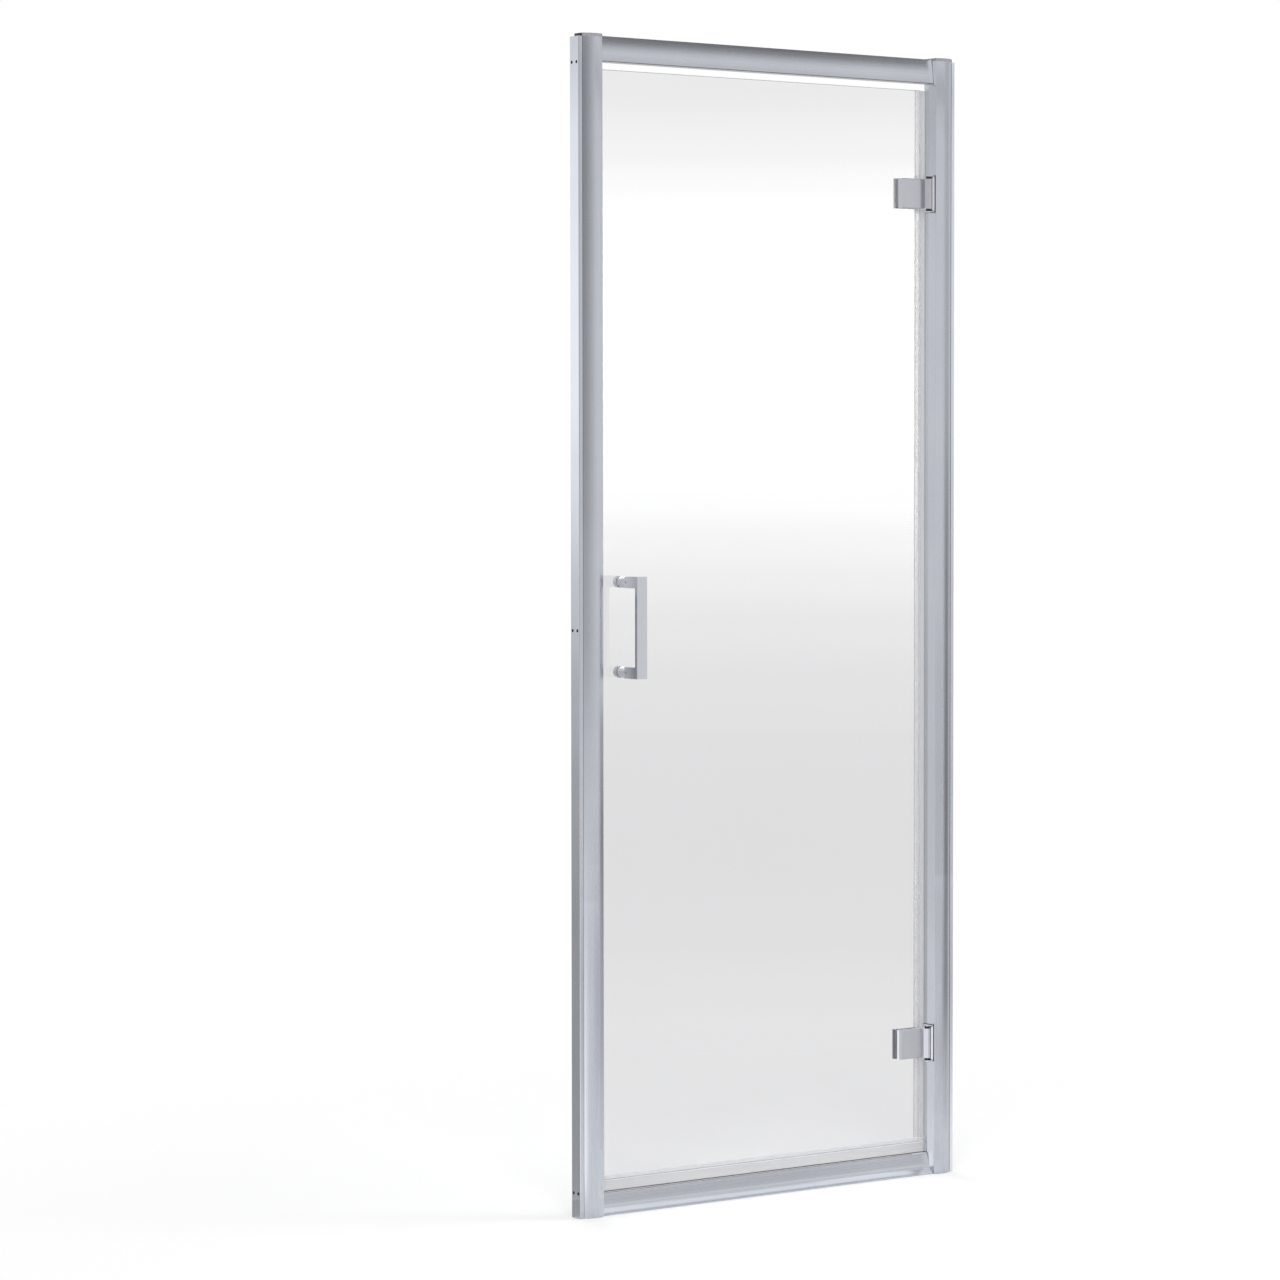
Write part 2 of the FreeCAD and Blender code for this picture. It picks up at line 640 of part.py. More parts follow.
def hinge_gaskets():
    pads = []
    half = LEAF_HEIGHT / 2 - GASKET_INSET
    for z in HINGE_Z:
        for y in (LEAF_BACK_Y, GLASS_BACK_Y):
            pad = box(
                LEAF_X0 + GASKET_INSET,
                LEAF_X0 + BACK_PLATE_WIDTH - GASKET_INSET,
                y,
                y + GASKET_T,
                z - half,
                z + half,
            )
            holes = [rod_y(CLAMP_X, y - 1, y + GASKET_T + 1, h, CLAMP_BORE_D) for h in clamp_places(z)]
            pads.append(one_solid(cut_all(pad, holes)))
    return group(pads)


def glass_sleeve(x, z, hole_d, bore_d):
    outer = rod_y(x, GLASS_FRONT_Y, GLASS_BACK_Y, z, hole_d - 2 * SLEEVE_PLAY)
    return outer.cut(rod_y(x, GLASS_FRONT_Y - 1, GLASS_BACK_Y + 1, z, bore_d))


def hinge_sleeves():
    places = [h for z in HINGE_Z for h in clamp_places(z)]
    return group([glass_sleeve(CLAMP_X, h, CLAMP_HOLE_D, CLAMP_BORE_D) for h in places])


def clamp_screws():
    screws = []
    head_y = BACK_PLATE_Y + BACK_PLATE_T - CLAMP_HEAD_SINK
    tip_y = LEAF_BACK_Y - CLAMP_GRIP + CLAMP_TIP_GAP
    for z in HINGE_Z:
        for h in clamp_places(z):
            head = rod_y(CLAMP_X, head_y - CLAMP_HEAD_T, head_y, h, CLAMP_HEAD_D)
            shank = rod_y(CLAMP_X, tip_y, head_y - CLAMP_HEAD_T, h, CLAMP_SCREW_D)
            screws.append(one_solid(head.fuse(shank)))
    return group(screws)


def handle_places():
    return [HANDLE_Z - HANDLE_PITCH / 2, HANDLE_Z + HANDLE_PITCH / 2]


def glass_panel():
    pane = box(GLASS_X0, GLASS_X1, GLASS_FRONT_Y, GLASS_BACK_Y, GLASS_BOTTOM, GLASS_TOP)
    rim = edges_on_plane_y(pane, GLASS_FRONT_Y) + edges_on_plane_y(pane, GLASS_BACK_Y)
    pane = pane.makeChamfer(GLASS_ARRIS, rim)
    holes = []
    for z in HINGE_Z:
        for h in clamp_places(z):
            holes.append(rod_y(CLAMP_X, GLASS_FRONT_Y - 1, GLASS_BACK_Y + 1, h, CLAMP_HOLE_D))
    for h in handle_places():
        holes.append(rod_y(HANDLE_X, GLASS_FRONT_Y - 1, GLASS_BACK_Y + 1, h, HANDLE_HOLE_D))
    return one_solid(cut_all(pane, holes))


def side_seal_section():
    """Plan of the hinge side seal: a U over the glass edge and a fin towards the post."""
    floor_x = GLASS_X1 + SEAL_FLOOR
    grip_x = GLASS_X1 - SIDE_GRIP
    return [
        (grip_x, SEAL_FRONT_Y),
        (floor_x, SEAL_FRONT_Y),
        (floor_x, SEAL_BACK_Y - SIDE_FIN_T),
        (SIDE_FIN_X, SEAL_BACK_Y - SIDE_FIN_T),
        (SIDE_FIN_X, SEAL_BACK_Y),
        (grip_x, SEAL_BACK_Y),
        (grip_x, GLASS_BACK_Y),
        (GLASS_X1, GLASS_BACK_Y),
        (GLASS_X1, GLASS_FRONT_Y),
        (grip_x, GLASS_FRONT_Y),
    ]


def hinge_side_seal():
    """Three lengths, cut around the two hinges."""
    half = LEAF_HEIGHT / 2 + SEAL_END_GAP
    stops = [SIDE_SEAL_LOW]
    for z in HINGE_Z:
        stops += [z - half, z + half]
    stops.append(GLASS_TOP)
    lengths = [polygon_z(side_seal_section(), stops[i], stops[i + 1]) for i in (0, 2, 4)]
    return group(lengths)


def bottom_seal():
    """U over the glass foot, as long as both side seals, with a fin that hangs down to the sill."""
    fin_low = SILL_HEIGHT + BOTTOM_FIN_GAP
    grip_top = SEAL_LOW + BOTTOM_GRIP
    section = [
        (SEAL_FRONT_Y, grip_top),
        (SEAL_FRONT_Y, fin_low),
        (SEAL_FRONT_Y + BOTTOM_FIN_T, fin_low),
        (SEAL_FRONT_Y + BOTTOM_FIN_T, SEAL_LOW),
        (SEAL_BACK_Y, SEAL_LOW),
        (SEAL_BACK_Y, grip_top),
        (GLASS_BACK_Y, grip_top),
        (GLASS_BACK_Y, GLASS_BOTTOM),
        (GLASS_FRONT_Y, GLASS_BOTTOM),
        (GLASS_FRONT_Y, grip_top),
    ]
    return polygon_x(section, DOOR_HEAD_X0, SIDE_FIN_X)


def magnet_bar(x0, x1):
    """Flat magnet that fills the hollow of a seal head between x0 and x1."""
    inset = MAGNET_WALL + MAGNET_PLAY
    return box(x0 + inset, x1 - inset, SEAL_FRONT_Y + inset, SEAL_BACK_Y - inset, SIDE_SEAL_LOW, GLASS_TOP)


def magnet_hollow(x0, x1):
    w = MAGNET_WALL
    return box(x0 + w, x1 - w, SEAL_FRONT_Y + w, SEAL_BACK_Y - w, SIDE_SEAL_LOW - 1, GLASS_TOP + 1)


def door_magnet_seal():
    """U over the free edge of the glass with a hollow head for the magnet."""
    grip_x = GLASS_X0 + MAGNET_GRIP
    body = box(DOOR_HEAD_X0, grip_x, SEAL_FRONT_Y, SEAL_BACK_Y, SIDE_SEAL_LOW, GLASS_TOP)
    slot = box(GLASS_X0, grip_x + 1, GLASS_FRONT_Y, GLASS_BACK_Y, SIDE_SEAL_LOW - 1, GLASS_TOP + 1)
    return one_solid(cut_all(body, [slot, magnet_hollow(DOOR_HEAD_X0, DOOR_HEAD_X1)]))


def strike_seal():
    """Hollow strip on the strike post that holds the second magnet."""
    body = box(STRIKE_HEAD_X0, STRIKE_HEAD_X1, SEAL_FRONT_Y, SEAL_BACK_Y, SIDE_SEAL_LOW, GLASS_TOP)
    return one_solid(body.cut(magnet_hollow(STRIKE_HEAD_X0, STRIKE_HEAD_X1)))


def handle():
    """Flat grip bar with a leg at each end, in one piece."""
    x0 = HANDLE_X - HANDLE_WIDTH / 2
    x1 = HANDLE_X + HANDLE_WIDTH / 2
    z0 = HANDLE_Z - HANDLE_HEIGHT / 2
    z1 = HANDLE_Z + HANDLE_HEIGHT / 2
    body = box(x0, x1, BAR_FRONT_Y, LEG_END_Y, z0, z1)
    body = body.cut(box(x0 - 1, x1 + 1, BAR_BACK_Y, LEG_END_Y + 1, z0 + HANDLE_LEG, z1 - HANDLE_LEG))
    body = body.makeFillet(HANDLE_EDGE_R, edges_on_plane_y(body, BAR_FRONT_Y))
    for z in handle_places():
        depth = HANDLE_BOLT_GRIP + HANDLE_BOLT_TIP_GAP
        body = body.cut(rod_y(HANDLE_X, LEG_END_Y - depth, LEG_END_Y + 1, z, HANDLE_BORE_D))
    return one_solid(body)


def handle_collars():
    """Round spacers between the legs and the glass."""
    rings = []
    for z in handle_places():
        ring = rod_y(HANDLE_X, LEG_END_Y + COLLAR_NECK, COLLAR_END_Y, z, COLLAR_D)
        ring = ring.fuse(rod_y(HANDLE_X, LEG_END_Y, LEG_END_Y + COLLAR_NECK, z, COLLAR_NECK_D))
        bore = rod_y(HANDLE_X, LEG_END_Y - 1, COLLAR_END_Y + 1, z, HANDLE_BORE_D)
        rings.append(one_solid(ring.cut(bore)))
    return group(rings)


def handle_gaskets():
    pads = []
    for z in handle_places():
        for y in (COLLAR_END_Y, GLASS_BACK_Y):
            pad = rod_y(HANDLE_X, y, y + HANDLE_GASKET_T, z, COLLAR_D)
            pads.append(pad.cut(rod_y(HANDLE_X, y - 1, y + HANDLE_GASKET_T + 1, z, HANDLE_BORE_D)))
    return group(pads)


def handle_sleeves():
    return group([glass_sleeve(HANDLE_X, z, HANDLE_HOLE_D, HANDLE_BORE_D) for z in handle_places()])


def handle_inner_caps():
    """Domed nuts on the shower side."""
    caps = []
    end = INNER_CAP_Y + INNER_CAP_T
    for z in handle_places():
        cap = rod_y(HANDLE_X, INNER_CAP_Y, end, z, INNER_CAP_D)
        cap = cap.makeFillet(INNER_CAP_DOME, edges_on_plane_y(cap, end))
        bore = rod_y(HANDLE_X, INNER_CAP_Y - 1, end - INNER_CAP_END, z, HANDLE_BORE_D)
        caps.append(one_solid(cap.cut(bore)))
    return group(caps)


def handle_bolts():
    """Threaded studs from the legs through the glass into the inner caps."""
    y0 = LEG_END_Y - HANDLE_BOLT_GRIP
    y1 = INNER_CAP_Y + INNER_CAP_T - INNER_CAP_END - HANDLE_BOLT_TIP_GAP
    return group([rod_y(HANDLE_X, y0, y1, z, HANDLE_BOLT_D) for z in handle_places()])


nodes = {
    "wall_channel_right": wall_channel(),
    "wall_channel_left": mirrored(wall_channel()),
    "hinge_post": post(True),
    "strike_post": mirrored(post(False)),
    "hinge_post_cap": post_cap(),
    "strike_post_cap": mirrored(post_cap()),
    "tongue_plugs": group([tongue_plug(), mirrored(tongue_plug())]),
    "top_rail": top_rail(),
    "bottom_rail": bottom_rail(),
    "rail_screws": rail_screws(),
    "channel_screws": channel_screws(),
    "strike_seal": strike_seal(),
    "strike_magnet": magnet_bar(STRIKE_HEAD_X0, STRIKE_HEAD_X1),
    "lower_hinge_bracket": bracket(HINGE_Z[0]),
    "upper_hinge_bracket": bracket(HINGE_Z[1]),
    "bracket_pads": bracket_pads(),
    "bracket_screws": bracket_screws(),
    "hinge_pins": hinge_pins(),
    "glass_panel": glass_panel(),
    "lower_hinge_leaf": hinge_leaf(HINGE_Z[0]),
    "upper_hinge_leaf": hinge_leaf(HINGE_Z[1]),
    "hinge_bushes": hinge_bushes(),
    "hinge_back_plates": hinge_back_plates(),
    "hinge_gaskets": hinge_gaskets(),
    "hinge_sleeves": hinge_sleeves(),
    "clamp_screws": clamp_screws(),
    "hinge_side_seal": hinge_side_seal(),
    "bottom_seal": bottom_seal(),
    "door_magnet_seal": door_magnet_seal(),
    "door_magnet": magnet_bar(DOOR_HEAD_X0, DOOR_HEAD_X1),
    "handle": handle(),
    "handle_collars": handle_collars(),
    "handle_gaskets": handle_gaskets(),
    "handle_sleeves": handle_sleeves(),
    "handle_inner_caps": handle_inner_caps(),
    "handle_bolts": handle_bolts(),
}

for name, shape in nodes.items():
    shape.exportStep("parts/" + name + ".step")
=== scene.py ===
import math

import bpy
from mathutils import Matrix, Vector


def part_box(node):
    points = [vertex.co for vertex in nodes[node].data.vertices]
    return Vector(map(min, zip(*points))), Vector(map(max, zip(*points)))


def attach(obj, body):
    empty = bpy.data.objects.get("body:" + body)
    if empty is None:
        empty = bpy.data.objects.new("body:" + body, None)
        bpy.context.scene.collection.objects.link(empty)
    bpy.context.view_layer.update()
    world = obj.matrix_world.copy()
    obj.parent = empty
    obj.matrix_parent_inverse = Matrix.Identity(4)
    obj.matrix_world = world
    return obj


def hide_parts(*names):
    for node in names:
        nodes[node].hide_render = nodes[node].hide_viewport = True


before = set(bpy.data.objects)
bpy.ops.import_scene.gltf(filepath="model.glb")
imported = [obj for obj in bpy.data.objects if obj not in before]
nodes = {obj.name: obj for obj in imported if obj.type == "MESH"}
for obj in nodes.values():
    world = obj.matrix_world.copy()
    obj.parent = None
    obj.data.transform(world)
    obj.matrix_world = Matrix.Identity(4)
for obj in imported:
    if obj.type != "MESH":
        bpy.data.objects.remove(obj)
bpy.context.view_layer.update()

bpy.ops.object.select_all(action="DESELECT")

MM = 0.001


# Finishes

NOISE_LOW, NOISE_HIGH = 0.3, 0.7
PAINTED_RECESS_SHADE = (0.02, 0.02, 0.02, 1.0)
WASHER_AND_JOINT_SHADE = (0.02, 0.02, 0.022, 1.0)
PAINTED_GAP_SHADE = (0.04, 0.04, 0.042, 1.0)
PAINTED_ARRIS_SHADE = (0.2, 0.205, 0.22, 1.0)
WASHER_IN = 2.2 * MM
WASHER_HALF = 0.7 * MM
WASHER_SHORT = 2.7 * MM


def new_paint(name):
    """An empty material, its node tree and the socket of its surface."""
    paint = bpy.data.materials.new(name)
    paint.use_nodes = True
    tree = paint.node_tree
    tree.nodes.clear()
    output = tree.nodes.new("ShaderNodeOutputMaterial")
    return paint, tree, output.inputs["Surface"]


def new_finish(name):
    """A material with a Principled shader on its surface."""
    finish, tree, surface = new_paint(name)
    shader = tree.nodes.new("ShaderNodeBsdfPrincipled")
    tree.links.new(shader.outputs["BSDF"], surface)
    return finish, tree, shader


def stretched_noise(tree, stretch, detail=3.0):
    """Noise on the piece's own coordinates, stretched along one axis by its scale."""
    place = tree.nodes.new("ShaderNodeTexCoord")
    mapping = tree.nodes.new("ShaderNodeMapping")
    mapping.inputs["Scale"].default_value = stretch
    noise = tree.nodes.new("ShaderNodeTexNoise")
    noise.inputs["Scale"].default_value = 1.0
    noise.inputs["Detail"].default_value = detail
    noise.inputs["Roughness"].default_value = 0.55
    tree.links.new(place.outputs["Object"], mapping.inputs["Vector"])
    tree.links.new(mapping.outputs["Vector"], noise.inputs["Vector"])
    return noise.outputs["Fac"]


def spread(tree, source, low, high):
    """Turns a noise value into a number between low and high."""
    ranged = tree.nodes.new("ShaderNodeMapRange")
    ranged.inputs["From Min"].default_value = NOISE_LOW
    ranged.inputs["From Max"].default_value = NOISE_HIGH
    ranged.inputs["To Min"].default_value = low
    ranged.inputs["To Max"].default_value = high
    tree.links.new(source, ranged.inputs["Value"])
    return ranged.outputs["Result"]


def tinted(tree, source, first, second, level=1.0):
    """Two close shades at a level of brightness, mixed by a noise value."""
    ramp = tree.nodes.new("ShaderNodeValToRGB")
    stops = ramp.color_ramp.elements
    for i, (position, shade) in enumerate(((NOISE_LOW, first), (NOISE_HIGH, second))):
        stops[i].position = position
        stops[i].color = [level * part for part in shade] + [1.0]
    tree.links.new(source, ramp.inputs["Fac"])
    return ramp.outputs["Color"]


def raised(tree, source, strength, depth):
    """A bump of that depth in metres."""
    bump = tree.nodes.new("ShaderNodeBump")
    bump.inputs["Strength"].default_value = strength
    bump.inputs["Distance"].default_value = depth
    tree.links.new(source, bump.inputs["Height"])
    return bump.outputs["Normal"]


def reckoned(tree, operation, first, second=0.0):
    """One step of arithmetic. A number is set on its socket, a socket is linked."""
    step = tree.nodes.new("ShaderNodeMath")
    step.operation = operation
    for socket, value in zip(step.inputs, (first, second)):
        if isinstance(value, float):
            socket.default_value = value
        else:
            tree.links.new(value, socket)
    return step.outputs["Value"]


def own_place(tree):
    """The piece's own x, y and z."""
    place = tree.nodes.new("ShaderNodeTexCoord")
    parts = tree.nodes.new("ShaderNodeSeparateXYZ")
    tree.links.new(place.outputs["Object"], parts.inputs["Vector"])
    return parts.outputs["X"], parts.outputs["Y"], parts.outputs["Z"]


def distance_from(tree, place, middle):
    """How far a place is from the middle, either way."""
    return reckoned(tree, "ABSOLUTE", reckoned(tree, "SUBTRACT", place, middle))


def darkened(tree, shade, where, dark):
    """The shade, but dark where the mask is one."""
    mix = tree.nodes.new("ShaderNodeMix")
    mix.data_type = "RGBA"
    tree.links.new(where, mix.inputs["Factor"])
    tree.links.new(shade, mix.inputs["A"])
    mix.inputs["B"].default_value = dark
    return mix.outputs["Result"]


def mixed(tree, share, first, second):
    """Two shaders, with that share of the second."""
    mix = tree.nodes.new("ShaderNodeMixShader")
    tree.links.new(share, mix.inputs["Fac"])
    tree.links.new(first, mix.inputs[1])
    tree.links.new(second, mix.inputs[2])
    return mix.outputs["Shader"]


def satin_anodised(name, grain, level=1.0, painted_tongue_from=None, inside=None, painted_arris_below=None):
    """Silver anodised extrusion: fine die lines along its length and a faint cloudiness.
    A post's tongue and the inside of a channel get painted shade, and so does the lower arris of the
    top rail."""
    finish, tree, shader = new_finish(name)
    lines = stretched_noise(tree, grain)
    clouds = stretched_noise(tree, (7.0, 7.0, 7.0), detail=2.0)
    shade = tinted(tree, clouds, (0.485, 0.505, 0.552), (0.515, 0.535, 0.582), level)
    x, y, z = own_place(tree)
    # Painted shade: the tongue's face, deep in the wall channel, is made near black.
    if painted_tongue_from is not None:
        hidden = reckoned(tree, "GREATER_THAN", reckoned(tree, "ABSOLUTE", x), painted_tongue_from)
        shade = darkened(tree, shade, hidden, PAINTED_RECESS_SHADE)
    # Painted shade: the inside of the channel is made near black.
    if inside is not None:
        within = reckoned(tree, "LESS_THAN", reckoned(tree, "ABSOLUTE", x), inside[0])
        between = reckoned(tree, "LESS_THAN", reckoned(tree, "ABSOLUTE", y), inside[1])
        hidden = reckoned(tree, "MULTIPLY", within, between)
        shade = darkened(tree, shade, hidden, PAINTED_RECESS_SHADE)
    # Painted shade: a thin band along the lower arris is darkened.
    if painted_arris_below is not None:
        below = reckoned(tree, "LESS_THAN", z, painted_arris_below)
        shade = darkened(tree, shade, below, PAINTED_ARRIS_SHADE)
    tree.links.new(shade, shader.inputs["Base Color"])
    tree.links.new(spread(tree, lines, 0.23, 0.30), shader.inputs["Roughness"])
    tree.links.new(raised(tree, lines, 0.07, 0.04 * MM), shader.inputs["Normal"])
    shader.inputs["Metallic"].default_value = 1.0
    return finish


def satin_chrome(name, level=1.0, knuckle_of=None):
    """Satin plated fitting. A hinge bracket gets a near-black band on each ear beside the knuckle,
    for a washer and as painted shade in the joint.
    """
    finish, tree, shader = new_finish(name)
    haze = stretched_noise(tree, (60.0, 60.0, 60.0), detail=4.0)
    ripple = stretched_noise(tree, (420.0, 420.0, 420.0), detail=2.0)
    shade = tinted(tree, haze, (0.545, 0.56, 0.60), (0.575, 0.59, 0.63), level)
    if knuckle_of is not None:
        foot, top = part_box(knuckle_of)
        x, _, z = own_place(tree)
        away = distance_from(tree, z, (foot.z + top.z) / 2)
        near = reckoned(tree, "COMPARE", away, (top.z - foot.z) / 2 - WASHER_IN)
        near.node.inputs[2].default_value = WASHER_HALF
        inside = reckoned(tree, "LESS_THAN", x, top.x - WASHER_SHORT)
        # Painted shade, in part: a near-black band on each ear beside the knuckle, for a washer and
        # the shade of the joint.
        washer = reckoned(tree, "MULTIPLY", near, inside)
        shade = darkened(tree, shade, washer, WASHER_AND_JOINT_SHADE)
    tree.links.new(shade, shader.inputs["Base Color"])
    tree.links.new(spread(tree, haze, 0.33, 0.41), shader.inputs["Roughness"])
    tree.links.new(raised(tree, ripple, 0.05, 0.03 * MM), shader.inputs["Normal"])
    shader.inputs["Metallic"].default_value = 1.0
    return finish


def pad_with_painted_gap_shade(name, lower, upper, front):
    """Plated backing of a hinge bracket, with painted shadow of the gap as a dark rim round it."""
    finish, tree, shader = new_finish(name)
    grain = stretched_noise(tree, (300.0, 300.0, 300.0))
    shade = tinted(tree, grain, (0.55, 0.56, 0.60), (0.60, 0.61, 0.65))
    _, y, z = own_place(tree)
    gaps = []
    for piece in (lower, upper):
        foot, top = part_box(piece)
        gaps.append(distance_from(tree, z, (foot.z + top.z) / 2))
    # Painted shadow: a near-black rim above, below and in front of the bracket, where the gap round
    # it is.
    nearest = reckoned(tree, "MINIMUM", gaps[0], gaps[1])
    beyond = reckoned(tree, "GREATER_THAN", nearest, (top.z - foot.z) / 2)
    ahead = reckoned(tree, "LESS_THAN", y, front)
    rim = reckoned(tree, "MAXIMUM", beyond, ahead)
    tree.links.new(darkened(tree, shade, rim, PAINTED_GAP_SHADE), shader.inputs["Base Color"])
    tree.links.new(spread(tree, grain, 0.35, 0.5), shader.inputs["Roughness"])
    shader.inputs["Metallic"].default_value = 1.0
    return finish


def plated_steel():
    """Plain plated screws and pins."""
    finish, tree, shader = new_finish("plated_steel")
    grain = stretched_noise(tree, (900.0, 900.0, 900.0))
    shade = tinted(tree, grain, (0.42, 0.43, 0.45), (0.52, 0.53, 0.55))
    tree.links.new(shade, shader.inputs["Base Color"])
    tree.links.new(spread(tree, grain, 0.24, 0.38), shader.inputs["Roughness"])
    shader.inputs["Metallic"].default_value = 1.0
    return finish


def clear_toughened_glass():
    """Clear glass that lets lamps through; a faint unevenness bends its reflections a little."""
    finish, tree, shader = new_finish("clear_toughened_glass")
    waves = stretched_noise(tree, (5.0, 5.0, 1.6), detail=1.0)
    depth = stretched_noise(tree, (2.0, 2.0, 1.2), detail=2.0)
    shade = tinted(tree, depth, (0.764, 0.764, 0.774), (0.774, 0.774, 0.784))
    tree.links.new(shade, shader.inputs["Base Color"])
    tree.links.new(raised(tree, waves, 0.006, 0.4 * MM), shader.inputs["Normal"])
    shader.inputs["Transmission Weight"].default_value = 1.0
    shader.inputs["IOR"].default_value = 1.5
    shader.inputs["Roughness"].default_value = 0.0
    clear = tree.nodes.new("ShaderNodeBsdfTransparent")
    clear.inputs["Color"].default_value = (0.86, 0.87, 0.875, 1.0)
    path = tree.nodes.new("ShaderNodeLightPath")
    pane = shader.outputs["BSDF"]
    surface = pane.links[0].to_socket
    lamps_through = mixed(tree, path.outputs["Is Shadow Ray"], pane, clear.outputs["BSDF"])
    tree.links.new(lamps_through, surface)
    return finish


def soft_clear_seal(name, flow, level, cover):
    """Translucent extruded plastic with faint flow lines along its length under a glossy skin."""
    finish, tree, shader = new_finish(name)
    lines = stretched_noise(tree, flow)
    shade = tinted(tree, lines, (0.965, 0.975, 1.03), (1.025, 1.035, 1.09), level)
    tree.links.new(shade, shader.inputs["Base Color"])
    tree.links.new(spread(tree, lines, 0.36, 0.46), shader.inputs["Roughness"])
    tree.links.new(raised(tree, lines, 0.1, 0.05 * MM), shader.inputs["Normal"])
    shader.inputs["Alpha"].default_value = cover
    shader.inputs["IOR"].default_value = 1.45
    shader.inputs["Coat Weight"].default_value = 1.0
    shader.inputs["Coat Roughness"].default_value = 0.0
    return finish


def moulded_plastic(name, first, second, low, high):
    """Fine moulded grain in two close shades, with a roughness between low and high."""
    finish, tree, shader = new_finish(name)
    grain = stretched_noise(tree, (1600.0, 1600.0, 1600.0), detail=2.0)
    tree.links.new(tinted(tree, grain, first, second), shader.inputs["Base Color"])
    tree.links.new(spread(tree, grain, low, high), shader.inputs["Roughness"])
    tree.links.new(raised(tree, grain, 0.3, 0.05 * MM), shader.inputs["Normal"])
    return finish


UPRIGHT_LINES, LEVEL_LINES = (1500.0, 1500.0, 2.5), (2.5, 1500.0, 1500.0)
UPRIGHT_FLOW, LEVEL_FLOW = (900.0, 900.0, 6.0), (6.0, 900.0, 900.0)
PAINTED_TONGUE_FROM = 375.2 * MM
PAINTED_CHANNEL_INSIDE = (377.9 * MM, 9.8 * MM)
PAINTED_ARRIS_HEIGHT = 1.3 * MM
PAD_GAP_SHADE_FRONT = -13.6 * MM

# The posts' tongue faces and the channels' insides carry painted shade.
post_aluminium = satin_anodised("post_satin_aluminium", UPRIGHT_LINES, painted_tongue_from=PAINTED_TONGUE_FROM)
left_channel_aluminium = satin_anodised(
    "left_channel_aluminium", UPRIGHT_LINES, inside=PAINTED_CHANNEL_INSIDE
)
# Painted light: a copy of the channel aluminium 1.4 times brighter, for the right channel only.
right_channel_lit_aluminium = satin_anodised(
    "right_channel_lit_aluminium", UPRIGHT_LINES, level=1.4, inside=PAINTED_CHANNEL_INSIDE
)
# The rail's lower arris carries painted shade.
rail_aluminium = satin_anodised(
    "rail_satin_aluminium", LEVEL_LINES, painted_arris_below=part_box("top_rail")[0].z + PAINTED_ARRIS_HEIGHT
)
sill_aluminium = satin_anodised("sill_satin_aluminium", LEVEL_LINES)
chrome = satin_chrome("satin_chrome")
# Painted shade: a darker copy of the satin chrome for the hinge leaves.
leaf_shaded_chrome = satin_chrome("leaf_shaded_satin_chrome", level=0.92)
# The brackets' finishes carry the painted washer and joint shade.
lower_bracket = satin_chrome("lower_bracket_chrome", knuckle_of="lower_hinge_bracket")
upper_bracket = satin_chrome("upper_bracket_chrome", knuckle_of="upper_hinge_bracket")
pad_metal = pad_with_painted_gap_shade("pad_with_painted_gap_shade", "lower_hinge_bracket", "upper_hinge_bracket", PAD_GAP_SHADE_FRONT)
steel = plated_steel()
glass = clear_toughened_glass()
upright_seal = soft_clear_seal("upright_clear_seal", UPRIGHT_FLOW, 0.76, 0.2)
level_seal = soft_clear_seal("level_clear_seal", LEVEL_FLOW, 0.76, 0.2)
# Painted shade: darker copies of the seal plastic for the fins.
upright_fin_shaded = soft_clear_seal("upright_seal_fin_shaded", UPRIGHT_FLOW, 0.48, 0.42)
level_fin_shaded = soft_clear_seal("level_seal_fin_shaded", LEVEL_FLOW, 0.48, 0.42)
# Painted shade: a darker copy of the seal plastic for the grip beyond the glass edge.
level_end_shaded = soft_clear_seal("level_seal_end_shaded", LEVEL_FLOW, 0.62, 0.27)
# Painted shade: a darker copy of the seal plastic for the edge of its lip.
lip_edge_shaded = soft_clear_seal("seal_lip_edge_shaded", UPRIGHT_FLOW, 0.4, 0.4)
grey_plastic = moulded_plastic(
    "grey_cap_plastic", (0.27, 0.278, 0.30), (0.30, 0.308, 0.33), 0.55, 0.7
)
black_plastic = moulded_plastic(
    "black_stopper_plastic", (0.012, 0.012, 0.014), (0.02, 0.02, 0.024), 0.4, 0.6
)
magnet_strip = moulded_plastic(
    "dark_magnet_strip", (0.05, 0.05, 0.055), (0.08, 0.08, 0.085), 0.5, 0.7
)
pale_rubber = moulded_plastic(
    "pale_gasket_rubber", (0.70, 0.71, 0.73), (0.76, 0.77, 0.79), 0.4, 0.55
)
# Painted shadow: the soft lip under the fin's hem is near black, for the shadow in the gap above the
# sill.
soft_lip_painted_shadow = moulded_plastic(
    "soft_lip_painted_shadow", (0.035, 0.035, 0.035), (0.05, 0.05, 0.05), 0.5, 0.65
)
# Painted shade: near black for the insides of screw drives.
drive_recess_painted_shade = moulded_plastic(
    "painted_shade_drive_recess", (0.03, 0.03, 0.032), (0.05, 0.05, 0.054), 0.35, 0.5
)
natural_nylon = moulded_plastic(
    "natural_nylon", (0.74, 0.74, 0.71), (0.80, 0.80, 0.77), 0.35, 0.5
)

